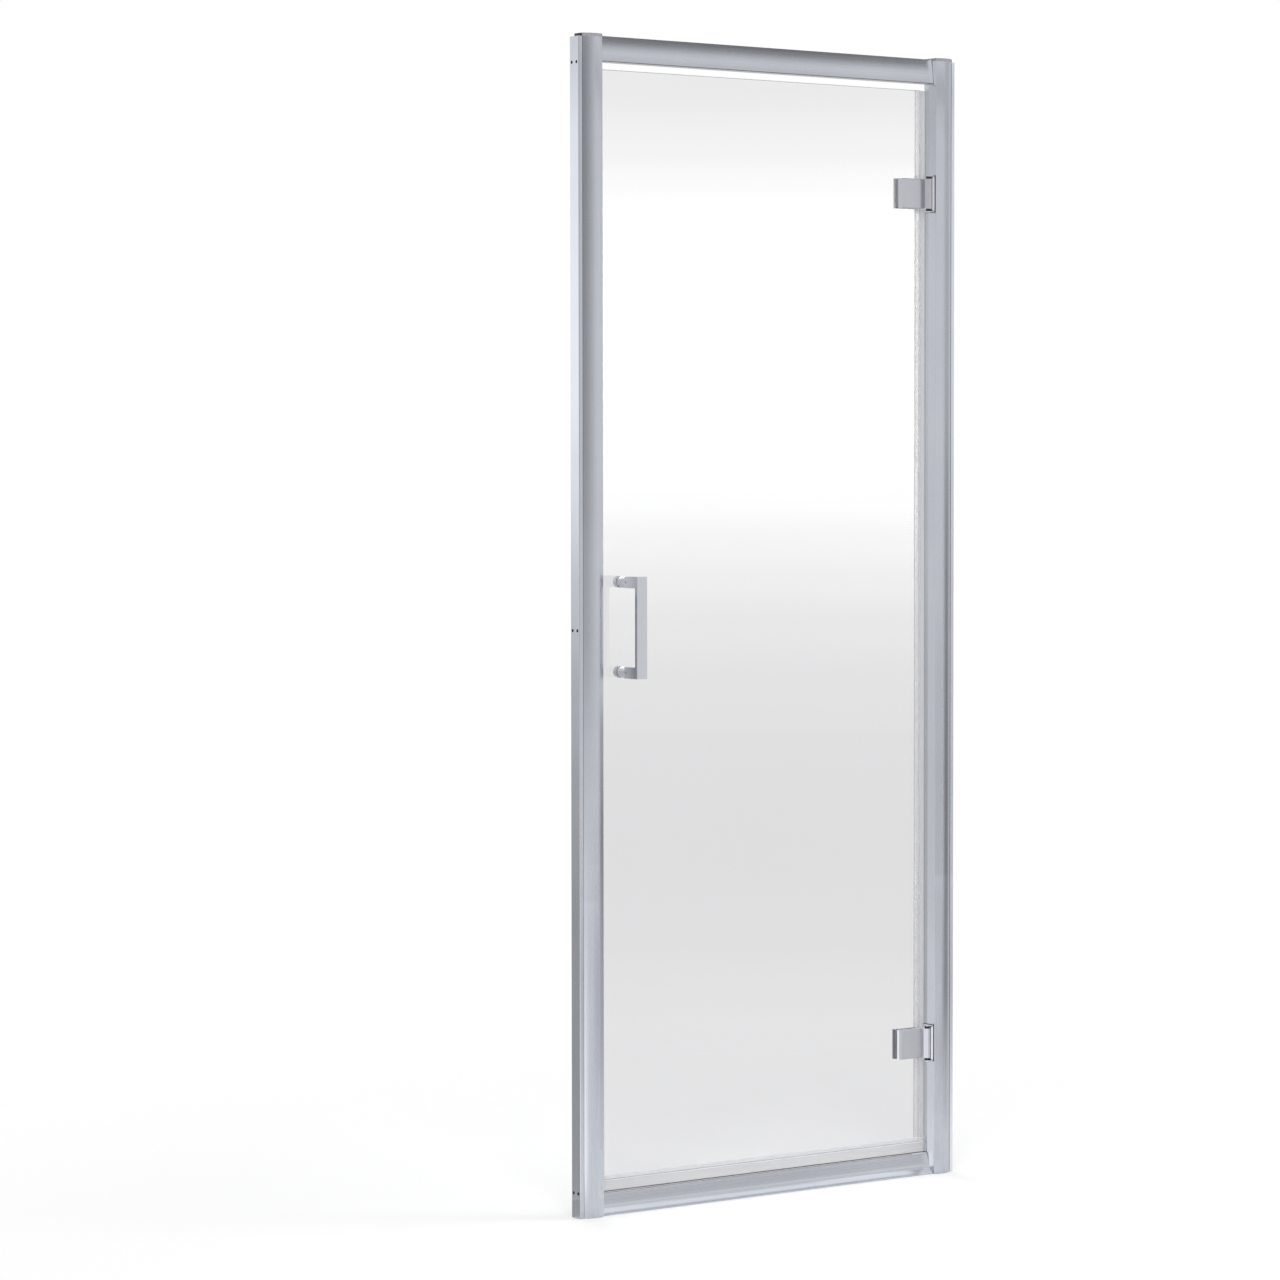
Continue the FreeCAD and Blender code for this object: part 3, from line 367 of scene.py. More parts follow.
finishes = {
    "wall_channel_left": left_channel_aluminium,
    "wall_channel_right": right_channel_lit_aluminium,
    "strike_post": post_aluminium,
    "hinge_post": post_aluminium,
    "strike_post_cap": grey_plastic,
    "hinge_post_cap": grey_plastic,
    "tongue_plugs": black_plastic,
    "top_rail": rail_aluminium,
    "bottom_rail": sill_aluminium,
    "rail_screws": steel,
    "channel_screws": steel,
    "strike_seal": upright_seal,
    "strike_magnet": magnet_strip,
    "lower_hinge_bracket": lower_bracket,
    "upper_hinge_bracket": upper_bracket,
    "bracket_pads": pad_metal,
    "bracket_screws": steel,
    "hinge_pins": steel,
    "glass_panel": glass,
    "lower_hinge_leaf": leaf_shaded_chrome,
    "upper_hinge_leaf": leaf_shaded_chrome,
    "hinge_bushes": black_plastic,
    "hinge_back_plates": chrome,
    "hinge_gaskets": pale_rubber,
    "hinge_sleeves": natural_nylon,
    "clamp_screws": steel,
    "hinge_side_seal": upright_seal,
    "bottom_seal": level_seal,
    "door_magnet_seal": upright_seal,
    "door_magnet": magnet_strip,
    "handle": chrome,
    "handle_collars": chrome,
    "handle_gaskets": pale_rubber,
    "handle_sleeves": natural_nylon,
    "handle_inner_caps": chrome,
    "handle_bolts": steel,
}
for node_name, finish in finishes.items():
    slots = nodes[node_name].data.materials
    slots.clear()
    slots.append(finish)


# Soft seals, pulled from flat strips along their sections

SEAL_WALL = 0.9 * MM
GLASS_PLAY = 0.1 * MM
LIP_TUCK = 0.06 * MM
LIP_BEND = 0.8 * MM
LIP_EDGE = 2.0 * MM
BACK_LIP_DROP = 2.0 * MM
BACK_LIP_SHORT = 6.5 * MM
HINGE_GAP = 0.5 * MM
FIN_SHORT = 0.3 * MM
HEM_HEIGHT = 1.3 * MM
SLEEVE_GAP = 1.2 * MM
CORNER = 0.5 * MM
ROUND = CORNER * 0.3
WELD = 0.02 * MM
WHOLE_PLACE = {"location": True, "rotation": True, "scale": True}


def chosen(piece):
    """Selects one piece, and only that, and makes it active."""
    bpy.ops.object.select_all(action="DESELECT")
    piece.select_set(True)
    bpy.context.view_layer.objects.active = piece


def pick_corners(piece, wanted):
    """Selects the corners that pass a test, and nothing else."""
    for item in list(piece.data.polygons) + list(piece.data.edges):
        item.select = False
    for corner in piece.data.vertices:
        corner.select = wanted(corner.co)


def pulled_sheet(name, section, run, start, stop):
    """One flat strip on the section's first stretch, then each further stretch is extruded
    from its far edge. Section points are (x, y) for a run along Z, (y, z) for a run along X."""
    first, second = section[0], section[1]
    step = (second[0] - first[0], second[1] - first[1])
    middle = ((first[0] + second[0]) / 2, (first[1] + second[1]) / 2)
    turn = math.atan2(step[1], step[0])
    length = math.hypot(step[0], step[1])
    half = (start + stop) / 2
    if run == "Z":
        low = 0
        place, rotation = (middle[0], middle[1], half), (math.pi / 2, 0.0, turn)
        scale = (length, stop - start, 1.0)
    else:
        low = 1
        place, rotation = (half, middle[0], middle[1]), (turn, 0.0, 0.0)
        scale = (stop - start, length, 1.0)
    bpy.ops.object.select_all(action="DESELECT")
    bpy.ops.mesh.primitive_plane_add(size=1.0, location=place, rotation=rotation)
    sheet = bpy.context.object
    sheet.name = name
    sheet.scale = scale
    bpy.ops.object.transform_apply(**WHOLE_PLACE)

    def at_far_edge(co):
        return math.hypot(co[low] - second[0], co[low + 1] - second[1]) < length / 4

    pick_corners(sheet, at_far_edge)
    bpy.ops.object.mode_set(mode="EDIT")
    bpy.ops.mesh.select_mode(type="VERT")
    for a, b in zip(section[1:], section[2:]):
        across = (b[0] - a[0], b[1] - a[1])
        move = across + (0.0,) if run == "Z" else (0.0,) + across
        bpy.ops.mesh.extrude_region_move(TRANSFORM_OT_translate={"value": move})
    bpy.ops.mesh.select_all(action="SELECT")
    bpy.ops.mesh.remove_doubles(threshold=WELD)
    bpy.ops.mesh.normals_make_consistent(inside=False)
    bpy.ops.object.mode_set(mode="OBJECT")
    return sheet


def with_wall(sheet, wall, finish):
    """Gives a sheet its wall and finish, and rounds the wall's edges."""
    sheet.data.materials.append(finish)
    chosen(sheet)
    thick = sheet.modifiers.new("wall", "SOLIDIFY")
    thick.thickness = wall
    thick.offset = 0.0
    thick.use_even_offset = True
    bpy.ops.object.modifier_apply(modifier="wall")
    soft = sheet.modifiers.new("soft_edges", "BEVEL")
    soft.width = wall * 0.3
    soft.segments = 2
    soft.limit_method = "ANGLE"
    soft.angle_limit = math.radians(50)
    bpy.ops.object.modifier_apply(modifier="soft_edges")
    bpy.ops.object.shade_smooth_by_angle(angle=math.radians(40))
    return sheet


def refaced(wall, finish, axis, start, stop):
    """Gives another finish to a wall's faces that lie between start and stop along an axis."""
    wall.data.materials.append(finish)
    for side in wall.data.polygons:
        if start < side.center[axis] < stop:
            side.material_index = len(wall.data.materials) - 1
    return wall


def one_piece(name, parts, node, body):
    """Joins parts into one piece that rides on a body, and stands for a CAD node if one is named."""
    chosen(parts[0])
    for part in parts:
        part.select_set(True)
    if len(parts) > 1:
        bpy.ops.object.join()
    piece = parts[0]
    piece.name = name
    piece.data.name = name
    if node is not None:
        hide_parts(node)
    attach(piece, body)


def lip_lines(low, high):
    """Middles of the two walls that lie between low and high across the glass."""
    return low + SEAL_WALL / 2, high - SEAL_WALL / 2


def hinge_side_piece():
    """U over the glass edge in three lengths round the hinges, shorter at the back,
    and one long fin to the post."""
    low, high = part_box("hinge_side_seal")
    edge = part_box("glass_panel")[1].x + GLASS_PLAY + SEAL_WALL / 2
    front, back = lip_lines(low.y, high.y)
    stops = [low.z]
    for leaf in ("lower_hinge_leaf", "upper_hinge_leaf"):
        foot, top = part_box(leaf)
        stops += [foot.z - HINGE_GAP, top.z + HINGE_GAP]
    stops.append(high.z)
    short = low.x + BACK_LIP_SHORT
    grip = [
        (low.x, front + LIP_TUCK), (low.x + LIP_EDGE, front),
        (edge - CORNER, front), (edge - ROUND, front + ROUND), (edge, front + CORNER),
        (edge, back - CORNER), (edge - ROUND, back - ROUND), (edge - CORNER, back),
        (short + LIP_EDGE, back), (short, back - LIP_TUCK),
    ]
    reach = high.x - FIN_SHORT - edge
    fin = [
        (edge, back - 0.1 * MM), (edge + reach * 0.35, back - 0.02 * MM),
        (edge + reach * 0.65, back), (edge + reach * 0.88, back - 0.2 * MM),
        (edge + reach, back - 0.7 * MM),
    ]
    walls = []
    for start, stop in zip(stops[0::2], stops[1::2]):
        sheet = pulled_sheet("side_grip", grip, "Z", start, stop)
        wall = with_wall(sheet, SEAL_WALL, upright_seal)
        # The lip's edge faces take the darker seal copy: painted shade.
        walls.append(refaced(wall, lip_edge_shaded, 0, low.x - MM, low.x + LIP_EDGE))
    sheet = pulled_sheet("side_fin", fin, "Z", low.z - BACK_LIP_DROP, high.z)
    # The fin takes the darker seal copy: painted shade.
    walls.append(with_wall(sheet, SEAL_WALL * 0.7, upright_fin_shaded))
    one_piece("soft_hinge_side_seal", walls, "hinge_side_seal", "door")


def bottom_piece():
    """U over the foot of the glass, and a fin with a curled hem down to the sill."""
    low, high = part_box("bottom_seal")
    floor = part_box("glass_panel")[0].z - GLASS_PLAY - SEAL_WALL / 2
    front, back = lip_lines(low.y, high.y)
    back_top = high.z - BACK_LIP_DROP
    grip = [
        (front + LIP_TUCK, high.z), (front, high.z - LIP_BEND),
        (front, floor + CORNER), (front + ROUND, floor + ROUND), (front + CORNER, floor),
        (back - CORNER, floor), (back - ROUND, floor + ROUND), (back, floor + CORNER),
        (back, back_top - LIP_BEND), (back - LIP_TUCK, back_top),
    ]
    hem = low.z + HEM_HEIGHT
    fin = [
        (front + 0.1 * MM, floor), (front + 0.25 * MM, floor - 2.0 * MM),
        (front + 0.3 * MM, floor - 7.0 * MM), (front + 0.2 * MM, floor - 12.0 * MM),
        (front + 0.05 * MM, hem),
    ]
    lip = [
        (front + 0.05 * MM, hem), (front + 0.05 * MM, hem - 0.5 * MM),
        (front + 0.2 * MM, hem - 0.95 * MM), (front + 0.6 * MM, hem - 1.2 * MM),
        (front + 1.2 * MM, hem - 1.25 * MM),
    ]
    strip = pulled_sheet("bottom_grip", grip, "X", low.x, high.x)
    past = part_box("glass_panel")[1].x
    bpy.ops.object.mode_set(mode="EDIT")
    bpy.ops.mesh.select_all(action="SELECT")
    bpy.ops.mesh.bisect(plane_co=(past, 0.0, 0.0), plane_no=(1.0, 0.0, 0.0))
    bpy.ops.object.mode_set(mode="OBJECT")
    wall = with_wall(strip, SEAL_WALL, level_seal)
    # The grip beyond the glass takes the darker seal copy: painted shade.
    walls = [refaced(wall, level_end_shaded, 0, past, high.x + MM)]
    sheet = pulled_sheet("bottom_fin", fin, "X", low.x, high.x)
    # The fin takes the darker seal copy: painted shade.
    walls.append(with_wall(sheet, SEAL_WALL * 0.8, level_fin_shaded))
    # The lip takes the near-black colour: painted shadow of the gap above the sill.
    sheet = pulled_sheet("bottom_lip", lip, "X", low.x, high.x)
    edge = with_wall(sheet, SEAL_WALL * 0.7, soft_lip_painted_shadow)
    one_piece("soft_bottom_lip", [edge], "bottom_seal", "door")
    one_piece("soft_bottom_seal", walls, "bottom_seal", "door")


def magnet_sleeve(name, left, right, front, back, start, stop):
    """Hollow strip with round corners, closed on itself, for a flat magnet."""
    ring = [
        (left + CORNER, front),
        (right - CORNER, front), (right - ROUND, front + ROUND), (right, front + CORNER),
        (right, back - CORNER), (right - ROUND, back - ROUND), (right - CORNER, back),
        (left + CORNER, back), (left + ROUND, back - ROUND), (left, back - CORNER),
        (left, front + CORNER), (left + ROUND, front + ROUND), (left + CORNER, front),
    ]
    return with_wall(pulled_sheet(name, ring, "Z", start, stop), SEAL_WALL, upright_seal)


def door_magnet_piece():
    """Magnet sleeve with two lips over the free edge of the glass."""
    low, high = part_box("door_magnet_seal")
    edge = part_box("glass_panel")[0].x
    front, back = lip_lines(low.y, high.y)
    left = low.x + SEAL_WALL / 2
    right = edge - SLEEVE_GAP - SEAL_WALL / 2
    walls = [magnet_sleeve("door_sleeve", left, right, front, back, low.z, high.z)]
    for line, tuck in ((front, LIP_TUCK), (back, -LIP_TUCK)):
        lip = [
            (right - CORNER, line), (edge + MM, line),
            (high.x - LIP_BEND, line), (high.x, line + tuck),
        ]
        sheet = pulled_sheet("door_lip", lip, "Z", low.z, high.z)
        walls.append(with_wall(sheet, SEAL_WALL, upright_seal))
    one_piece("soft_door_magnet_seal", walls, "door_magnet_seal", "door")


def strike_piece():
    """Magnet sleeve on the strike post."""
    low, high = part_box("strike_seal")
    front, back = lip_lines(low.y, high.y)
    left, right = lip_lines(low.x, high.x)
    wall = magnet_sleeve("strike_sleeve", left, right, front, back, low.z, high.z)
    one_piece("soft_strike_seal", [wall], "strike_seal", "frame")


hinge_side_piece()
bottom_piece()
door_magnet_piece()
strike_piece()


# Screws that show, each kind modelled once and copied

TO_BACK = (-math.pi / 2, 0.0, 0.0)
TO_LEFT = (0.0, -math.pi / 2, 0.0)
TINY = 0.01 * MM
CROSS_ARM = 0.26


def bored(screw, cutter):
    """Sinks a drive into a screw head."""
    chosen(screw)
    cut = screw.modifiers.new("drive", "BOOLEAN")
    cut.operation = "DIFFERENCE"
    cut.object = cutter
    bpy.ops.object.modifier_apply(modifier="drive")
    bpy.data.objects.remove(cutter)


def turned_screw(head, thick, shank, length, drive, width, depth):
    """Screw that stands on its seat at the origin with its shank below,
    and a hexagon or a cross sunk in its head."""
    bpy.ops.object.select_all(action="DESELECT")
    bpy.ops.mesh.primitive_cylinder_add(
        vertices=40, radius=head / 2, depth=thick, location=(0.0, 0.0, thick / 2)
    )
    screw = bpy.context.object
    bpy.ops.object.transform_apply(**WHOLE_PLACE)
    pick_corners(screw, lambda co: abs(co.z) < TINY)
    bpy.ops.object.mode_set(mode="EDIT")
    bpy.ops.mesh.select_mode(type="VERT")
    bpy.ops.mesh.inset(thickness=(head - shank) / 2)
    bpy.ops.mesh.extrude_region_move(TRANSFORM_OT_translate={"value": (0.0, 0.0, -length)})
    bpy.ops.object.mode_set(mode="OBJECT")
    pick_corners(screw, lambda co: abs(co.z - thick) < TINY)
    bpy.ops.object.mode_set(mode="EDIT")
    bpy.ops.mesh.bevel(offset=thick * 0.22, segments=3)
    bpy.ops.object.mode_set(mode="OBJECT")
    screw.data.materials.append(steel)
    if drive == "hexagon":
        corner = width / 2 / math.cos(math.pi / 6)
        bpy.ops.mesh.primitive_cylinder_add(
            vertices=6, radius=corner, depth=2 * depth, location=(0.0, 0.0, thick)
        )
        bored(screw, bpy.context.object)
    else:
        for arm in ((width, width * CROSS_ARM), (width * CROSS_ARM, width)):
            bpy.ops.mesh.primitive_cube_add(size=1.0, location=(0.0, 0.0, thick))
            bpy.context.object.scale = (arm[0], arm[1], 2 * depth)
            bored(screw, bpy.context.object)
    # Painted shade: the faces sunk in the head take the near-black recess colour.
    screw.data.materials.append(drive_recess_painted_shade)
    for side in screw.data.polygons:
        middle = side.center
        sunk = thick - depth - TINY < middle.z < thick - TINY
        if sunk and math.hypot(middle.x, middle.y) < width * 0.6:
            side.material_index = 1
    bpy.ops.object.shade_smooth_by_angle(angle=math.radians(35))
    return screw


def set_screws(name, screw, places, turn, node, body):
    """Copies of one screw at their places, turned to face out."""
    copies = []
    for place in places:
        chosen(screw)
        bpy.ops.object.duplicate()
        copy = bpy.context.object
        copy.rotation_euler = turn
        copy.location = place
        bpy.ops.object.transform_apply(**WHOLE_PLACE)
        copies.append(copy)
    bpy.data.objects.remove(screw)
    one_piece(name, copies, node, body)


def clamp_screw_pieces():
    """Socket screws through the glass, two in each hinge."""
    low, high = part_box("clamp_screws")
    head, thick, shank, pitch = 11.0 * MM, 3.0 * MM, 6.0 * MM, 26.0 * MM
    seat = high.y - thick
    across = (low.x + high.x) / 2
    places = []
    for leaf in ("lower_hinge_leaf", "upper_hinge_leaf"):
        foot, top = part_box(leaf)
        middle = (foot.z + top.z) / 2
        places += [(across, seat, middle + side * pitch / 2) for side in (-1, 1)]
    screw = turned_screw(head, thick, shank, seat - low.y, "hexagon", 5.0 * MM, 2.0 * MM)
    set_screws("socket_clamp_screws", screw, places, TO_BACK, "clamp_screws", "door")


def channel_screw_pieces():
    """Cross head screws that hold the posts in their wall channels."""
    low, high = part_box("channel_screws")
    head, thick, shank = 7.0 * MM, 2.2 * MM, 4.0 * MM
    seat = high.y - thick
    across = high.x - head / 2
    heights = (low.z + head / 2, (low.z + high.z) / 2, high.z - head / 2)
    places = [(side * across, seat, z) for side in (-1, 1) for z in heights]
    screw = turned_screw(head, thick, shank, seat - low.y, "cross", 4.0 * MM, 1.3 * MM)
    set_screws("cross_channel_screws", screw, places, TO_BACK, "channel_screws", "frame")


def handle_grub_pieces():
    """Small set screw in the side of each handle leg."""
    low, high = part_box("handle")
    proud, sunk, leg, from_glass = 0.35 * MM, 1.2 * MM, 18.0 * MM, 4.0 * MM
    heights = (low.z + leg / 2, high.z - leg / 2)
    places = [(low.x + sunk, high.y - from_glass, z) for z in heights]
    screw = turned_screw(
        3.6 * MM, proud + sunk, 3.0 * MM, 0.5 * MM, "hexagon", 1.8 * MM, 0.3 * MM
    )
    set_screws("handle_grub_screws", screw, places, TO_LEFT, None, "door")


clamp_screw_pieces()
channel_screw_pieces()
handle_grub_pieces()


# Studio

FLOOR_DROP = 0.5 * MM
SHADOW_NEAR, SHADOW_FAR = 0.6, 1.7
FLOOR_GLOW = 0.22
SOFT_AIR, WHITE_AIR = 0.5, 1.0


def white_to_sight(tree):
    """One for rays from the camera, mirrors and glass, so that the ground stays white to them."""
    path = tree.nodes.new("ShaderNodeLightPath")
    seen = reckoned(tree, "MAXIMUM", path.outputs["Is Camera Ray"], path.outputs["Is Glossy Ray"])
    return reckoned(tree, "MAXIMUM", seen, path.outputs["Is Transmission Ray"])


def glowing(tree, strength):
    """A plain white glow."""
    glow = tree.nodes.new("ShaderNodeEmission")
    glow.inputs["Strength"].default_value = strength
    return glow


def matt_floor(tree):
    """Matt paint of the floor."""
    matt = tree.nodes.new("ShaderNodeBsdfDiffuse")
    matt.inputs["Color"].default_value = (0.8, 0.8, 0.8, 1.0)
    return matt.outputs["BSDF"]


def studio_floor():
    """Pale floor that keeps the shadow near the door and turns white further out."""
    bpy.ops.mesh.primitive_circle_add(
        vertices=96, radius=40.0, fill_type="NGON", location=(0, 0, -FLOOR_DROP)
    )
    floor = bpy.context.object
    floor.name = "studio_floor"
    paint, tree, surface = new_paint("pale_floor")
    place = tree.nodes.new("ShaderNodeTexCoord")
    length = tree.nodes.new("ShaderNodeVectorMath")
    length.operation = "LENGTH"
    tree.links.new(place.outputs["Object"], length.inputs[0])
    far = tree.nodes.new("ShaderNodeMapRange")
    far.interpolation_type = "SMOOTHSTEP"
    far.inputs["From Min"].default_value = SHADOW_NEAR
    far.inputs["From Max"].default_value = SHADOW_FAR
    tree.links.new(length.outputs["Value"], far.inputs["Value"])
    near = tree.nodes.new("ShaderNodeAddShader")
    tree.links.new(matt_floor(tree), near.inputs[0])
    tree.links.new(glowing(tree, FLOOR_GLOW).outputs["Emission"], near.inputs[1])
    white = glowing(tree, 1.0).outputs["Emission"]
    ground = mixed(tree, far.outputs["Result"], near.outputs["Shader"], white)
    tree.links.new(mixed(tree, white_to_sight(tree), matt_floor(tree), ground), surface)
    floor.data.materials.append(paint)


def studio_air():
    """White surroundings to sight, softer as a light on matt surfaces."""
    world = bpy.data.worlds.new("studio_air")
    bpy.context.scene.world = world
    world.use_nodes = True
    tree = world.node_tree
    tree.nodes.clear()
    output = tree.nodes.new("ShaderNodeOutputWorld")
    airs = []
    for strength in (SOFT_AIR, WHITE_AIR):
        air = tree.nodes.new("ShaderNodeBackground")
        air.inputs["Color"].default_value = (1.0, 1.0, 1.0, 1.0)
        air.inputs["Strength"].default_value = strength
        airs.append(air.outputs["Background"])
    tree.links.new(mixed(tree, white_to_sight(tree), airs[0], airs[1]), output.inputs["Surface"])


def softbox(name, place, aim, width, height, power):
    """Lamp for the matt surfaces; the bright metals mirror the panels instead."""
    bpy.ops.object.light_add(type="AREA", location=place)
    lamp = bpy.context.object
    lamp.name = name
    lamp.data.shape = "RECTANGLE"
    lamp.data.size = width
    lamp.data.size_y = height
    lamp.data.energy = power
    lamp.visible_glossy = False
    run = [aim[i] - place[i] for i in range(3)]
    tilt = math.atan2(math.hypot(run[0], run[1]), -run[2])
    lamp.rotation_euler = (tilt, 0.0, math.atan2(run[1], run[0]) - math.pi / 2)


def mirror_only(name, place, rotation, width, height):
    """Flat plane that only mirrors see."""
    bpy.ops.mesh.primitive_plane_add(size=1.0, location=place, rotation=rotation)
    plane = bpy.context.object
    plane.name = name
    plane.scale = (width, height, 1.0)
    plane.visible_camera = False
    plane.visible_diffuse = False
    plane.visible_transmission = False
    plane.visible_shadow = False
    return plane


def glow_where(plane, paint, tree, surface, glow, hidden):
    """Paints a plane with a glow that is clear where the mask is one."""
    open_air = tree.nodes.new("ShaderNodeBsdfTransparent")
    seen = mixed(tree, hidden, glow.outputs["Emission"], open_air.outputs["BSDF"])
    tree.links.new(seen, surface)
    plane.data.materials.append(paint)


def mirrored_panel(
    name, around, heading, distance, width, steps,
    clear=(0.28, 0.5), one_sided=False, for_glass=False,
):
    """Upright panel that only mirrors see, turned to a spot (x, y).
    Steps are (height in metres, brightness). It turns clear towards both sides, or only
    to its right, and shows in the satin metals or in the glass."""
    turn = math.radians(heading)
    low, high = steps[0][0], steps[-1][0]
    x = around[0] + distance * math.sin(turn)
    y = around[1] - distance * math.cos(turn)
    panel = mirror_only(
        name, (x, y, (low + high) / 2), (math.pi / 2, 0.0, turn), width, high - low
    )
    paint, tree, surface = new_paint(name + "_glow")
    along, up, _ = own_place(tree)
    most = max(bright for z, bright in steps)
    ramp = tree.nodes.new("ShaderNodeValToRGB")
    ramp.color_ramp.interpolation = "EASE"
    stops = ramp.color_ramp.elements
    for i, (z, bright) in enumerate(steps):
        stop = stops[i] if i < 2 else stops.new(1.0)
        stop.position = (z - low) / (high - low)
        level = bright / most
        stop.color = (level, level, level, 1.0)
    tree.links.new(reckoned(tree, "ADD", up, 0.5), ramp.inputs["Fac"])
    glow = glowing(tree, most)
    tree.links.new(ramp.outputs["Color"], glow.inputs["Color"])
    fade = tree.nodes.new("ShaderNodeMapRange")
    fade.interpolation_type = "SMOOTHSTEP"
    fade.inputs["From Min"].default_value = clear[0]
    fade.inputs["From Max"].default_value = clear[1]
    side = along if one_sided else reckoned(tree, "ABSOLUTE", along)
    tree.links.new(side, fade.inputs["Value"])
    sharp = tree.nodes.new("ShaderNodeLightPath").outputs["Is Singular Ray"]
    other = reckoned(tree, "SUBTRACT", 1.0, sharp) if for_glass else sharp
    hidden = reckoned(tree, "MAXIMUM", fade.outputs["Result"], other)
    glow_where(panel, paint, tree, surface, glow, hidden)


def one_sided_card(name, place, lean, width, depth, bright, sideways=0.0):
    """Flat card that only the satin metals see, and only from its lit side.
    It faces up at a lean of 0, to the front at 90, down at 180 and to the back at -90 degrees,
    and to the left when sideways is -90."""
    rotation = (math.radians(lean), math.radians(sideways), 0.0)
    card = mirror_only(name, place, rotation, width, depth)
    paint, tree, surface = new_paint(name + "_glow")
    sharp = tree.nodes.new("ShaderNodeLightPath").outputs["Is Singular Ray"]
    behind = tree.nodes.new("ShaderNodeNewGeometry").outputs["Backfacing"]
    hidden = reckoned(tree, "MAXIMUM", sharp, behind)
    glow_where(card, paint, tree, surface, glowing(tree, bright), hidden)


SENSOR_WIDTH = 36.0
PHOTO_PIXELS = 1280.0
FOCAL_PIXELS = 4295.3
CENTRE_RIGHT, CENTRE_UP = -121.2, 0.5
CAMERA_PLACE = (-4.1787, -5.5184, 1.1876)
CAMERA_DIP, CAMERA_TURN = 2.402, -37.04


def photo_camera():
    """Camera of the photograph, solved from its edges."""
    data = bpy.data.cameras.new("photo_camera")
    camera = bpy.data.objects.new("photo_camera", data)
    bpy.context.scene.collection.objects.link(camera)
    camera.location = CAMERA_PLACE
    camera.rotation_euler = (math.radians(90.0 - CAMERA_DIP), 0.0, math.radians(CAMERA_TURN))
    data.sensor_fit = "HORIZONTAL"
    data.sensor_width = SENSOR_WIDTH
    data.lens = SENSOR_WIDTH * FOCAL_PIXELS / PHOTO_PIXELS
    data.shift_x = CENTRE_RIGHT / PHOTO_PIXELS
    data.shift_y = CENTRE_UP / PHOTO_PIXELS
    data.clip_end = 200.0
    bpy.context.scene.camera = camera


DOOR_MIDDLE = (0.0, 0.0, 0.9)
GLASS_MIRRORS, FRONT_MIRRORS, SIDE_MIRRORS, BEVEL_MIRRORS = 37.1, 37.0, -143.0, -53.0
UP, FRONT, DOWN, BACK, LEFT = 0.0, 90.0, 180.0, -90.0, -90.0
SHARP_SIDES = (0.49, 0.5)

studio_floor()
studio_air()
softbox("key_softbox", (-2.6, -3.4, 3.6), DOOR_MIDDLE, 2.4, 2.4, 120.0)
softbox("fill_softbox", (3.4, -2.2, 2.6), DOOR_MIDDLE, 2.0, 2.4, 60.0)
softbox("back_softbox", (0.8, 3.6, 3.4), DOOR_MIDDLE, 2.4, 1.8, 50.0)

# Two panels that the glass mirrors
mirrored_panel(
    "window_panel", (0.0, 0.0), GLASS_MIRRORS, 9.0, 2.6,
    [(0.0, 0.3), (0.14, 0.4), (0.36, 0.75), (0.58, 1.6), (0.73, 2.8), (0.88, 4.1), (1.03, 5.8),
     (1.18, 7.2), (2.05, 7.2), (2.22, 5.2), (2.33, 3.8), (2.56, 2.1), (2.9, 0.5), (3.3, 0.3)],
    for_glass=True,
)
mirrored_panel(
    "low_glass_flag", (0.0, 0.0), GLASS_MIRRORS, 2.0, 1.4,
    [(0.0, 1.05), (0.07, 0.8), (0.2, 0.2), (0.36, 0.0), (0.5, 0.04), (0.62, 0.2)],
    clear=(0.38, 0.5), for_glass=True,
)

# Sill and its toe, and the ends of sill and rail at the hinge post
mirrored_panel(
    "sill_card", (0.0, 0.0), FRONT_MIRRORS, 1.0, 1.8, [(0.06, 0.76), (0.2, 0.72), (0.34, 0.72)]
)
one_sided_card("toe_card", (0.15, -0.34, 0.5), DOWN, 1.2, 0.6, 1.45)
one_sided_card("sill_end_card", (0.329, -0.0018, 0.018), 84.0, 0.012, 0.034, 1.4)
one_sided_card("rail_end_card", (0.329, -0.0078, 1.828), 83.5, 0.012, 0.042, 0.9)
one_sided_card("post_foot_card", (0.3347, -0.0075, 0.017), UP, 0.034, 0.014, 1.0, LEFT)
one_sided_card("post_head_card", (0.3347, -0.0085, 1.829), UP, 0.042, 0.012, 1.0, LEFT)
one_sided_card("sill_foot_card", (0.02, -0.036, 0.0105), BACK, 0.68, 0.021, 1.08)
one_sided_card("toe_floor_card", (0.0, -0.024, 0.0003), UP, 0.66, 0.02, 1.1)
one_sided_card("toe_back_card", (0.0, -0.02, 0.045), DOWN, 0.66, 0.04, 1.3)
one_sided_card("near_toe_card", (0.29, -0.075, 0.1), DOWN, 0.14, 0.11, 1.5)

# Hinge post beside each bracket
for hinge, glow in (("lower_hinge_bracket", 1.5), ("upper_hinge_bracket", 1.2)):
    foot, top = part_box(hinge)
    middle = (foot.z + top.z) / 2
    one_sided_card(
        hinge + "_side_card", (0.3339, -0.0124, middle), UP, 0.056, 0.003, glow, LEFT
    )
    one_sided_card(hinge + "_front_card", (0.3327, -0.0109, middle), FRONT, 0.0024, 0.056, glow)

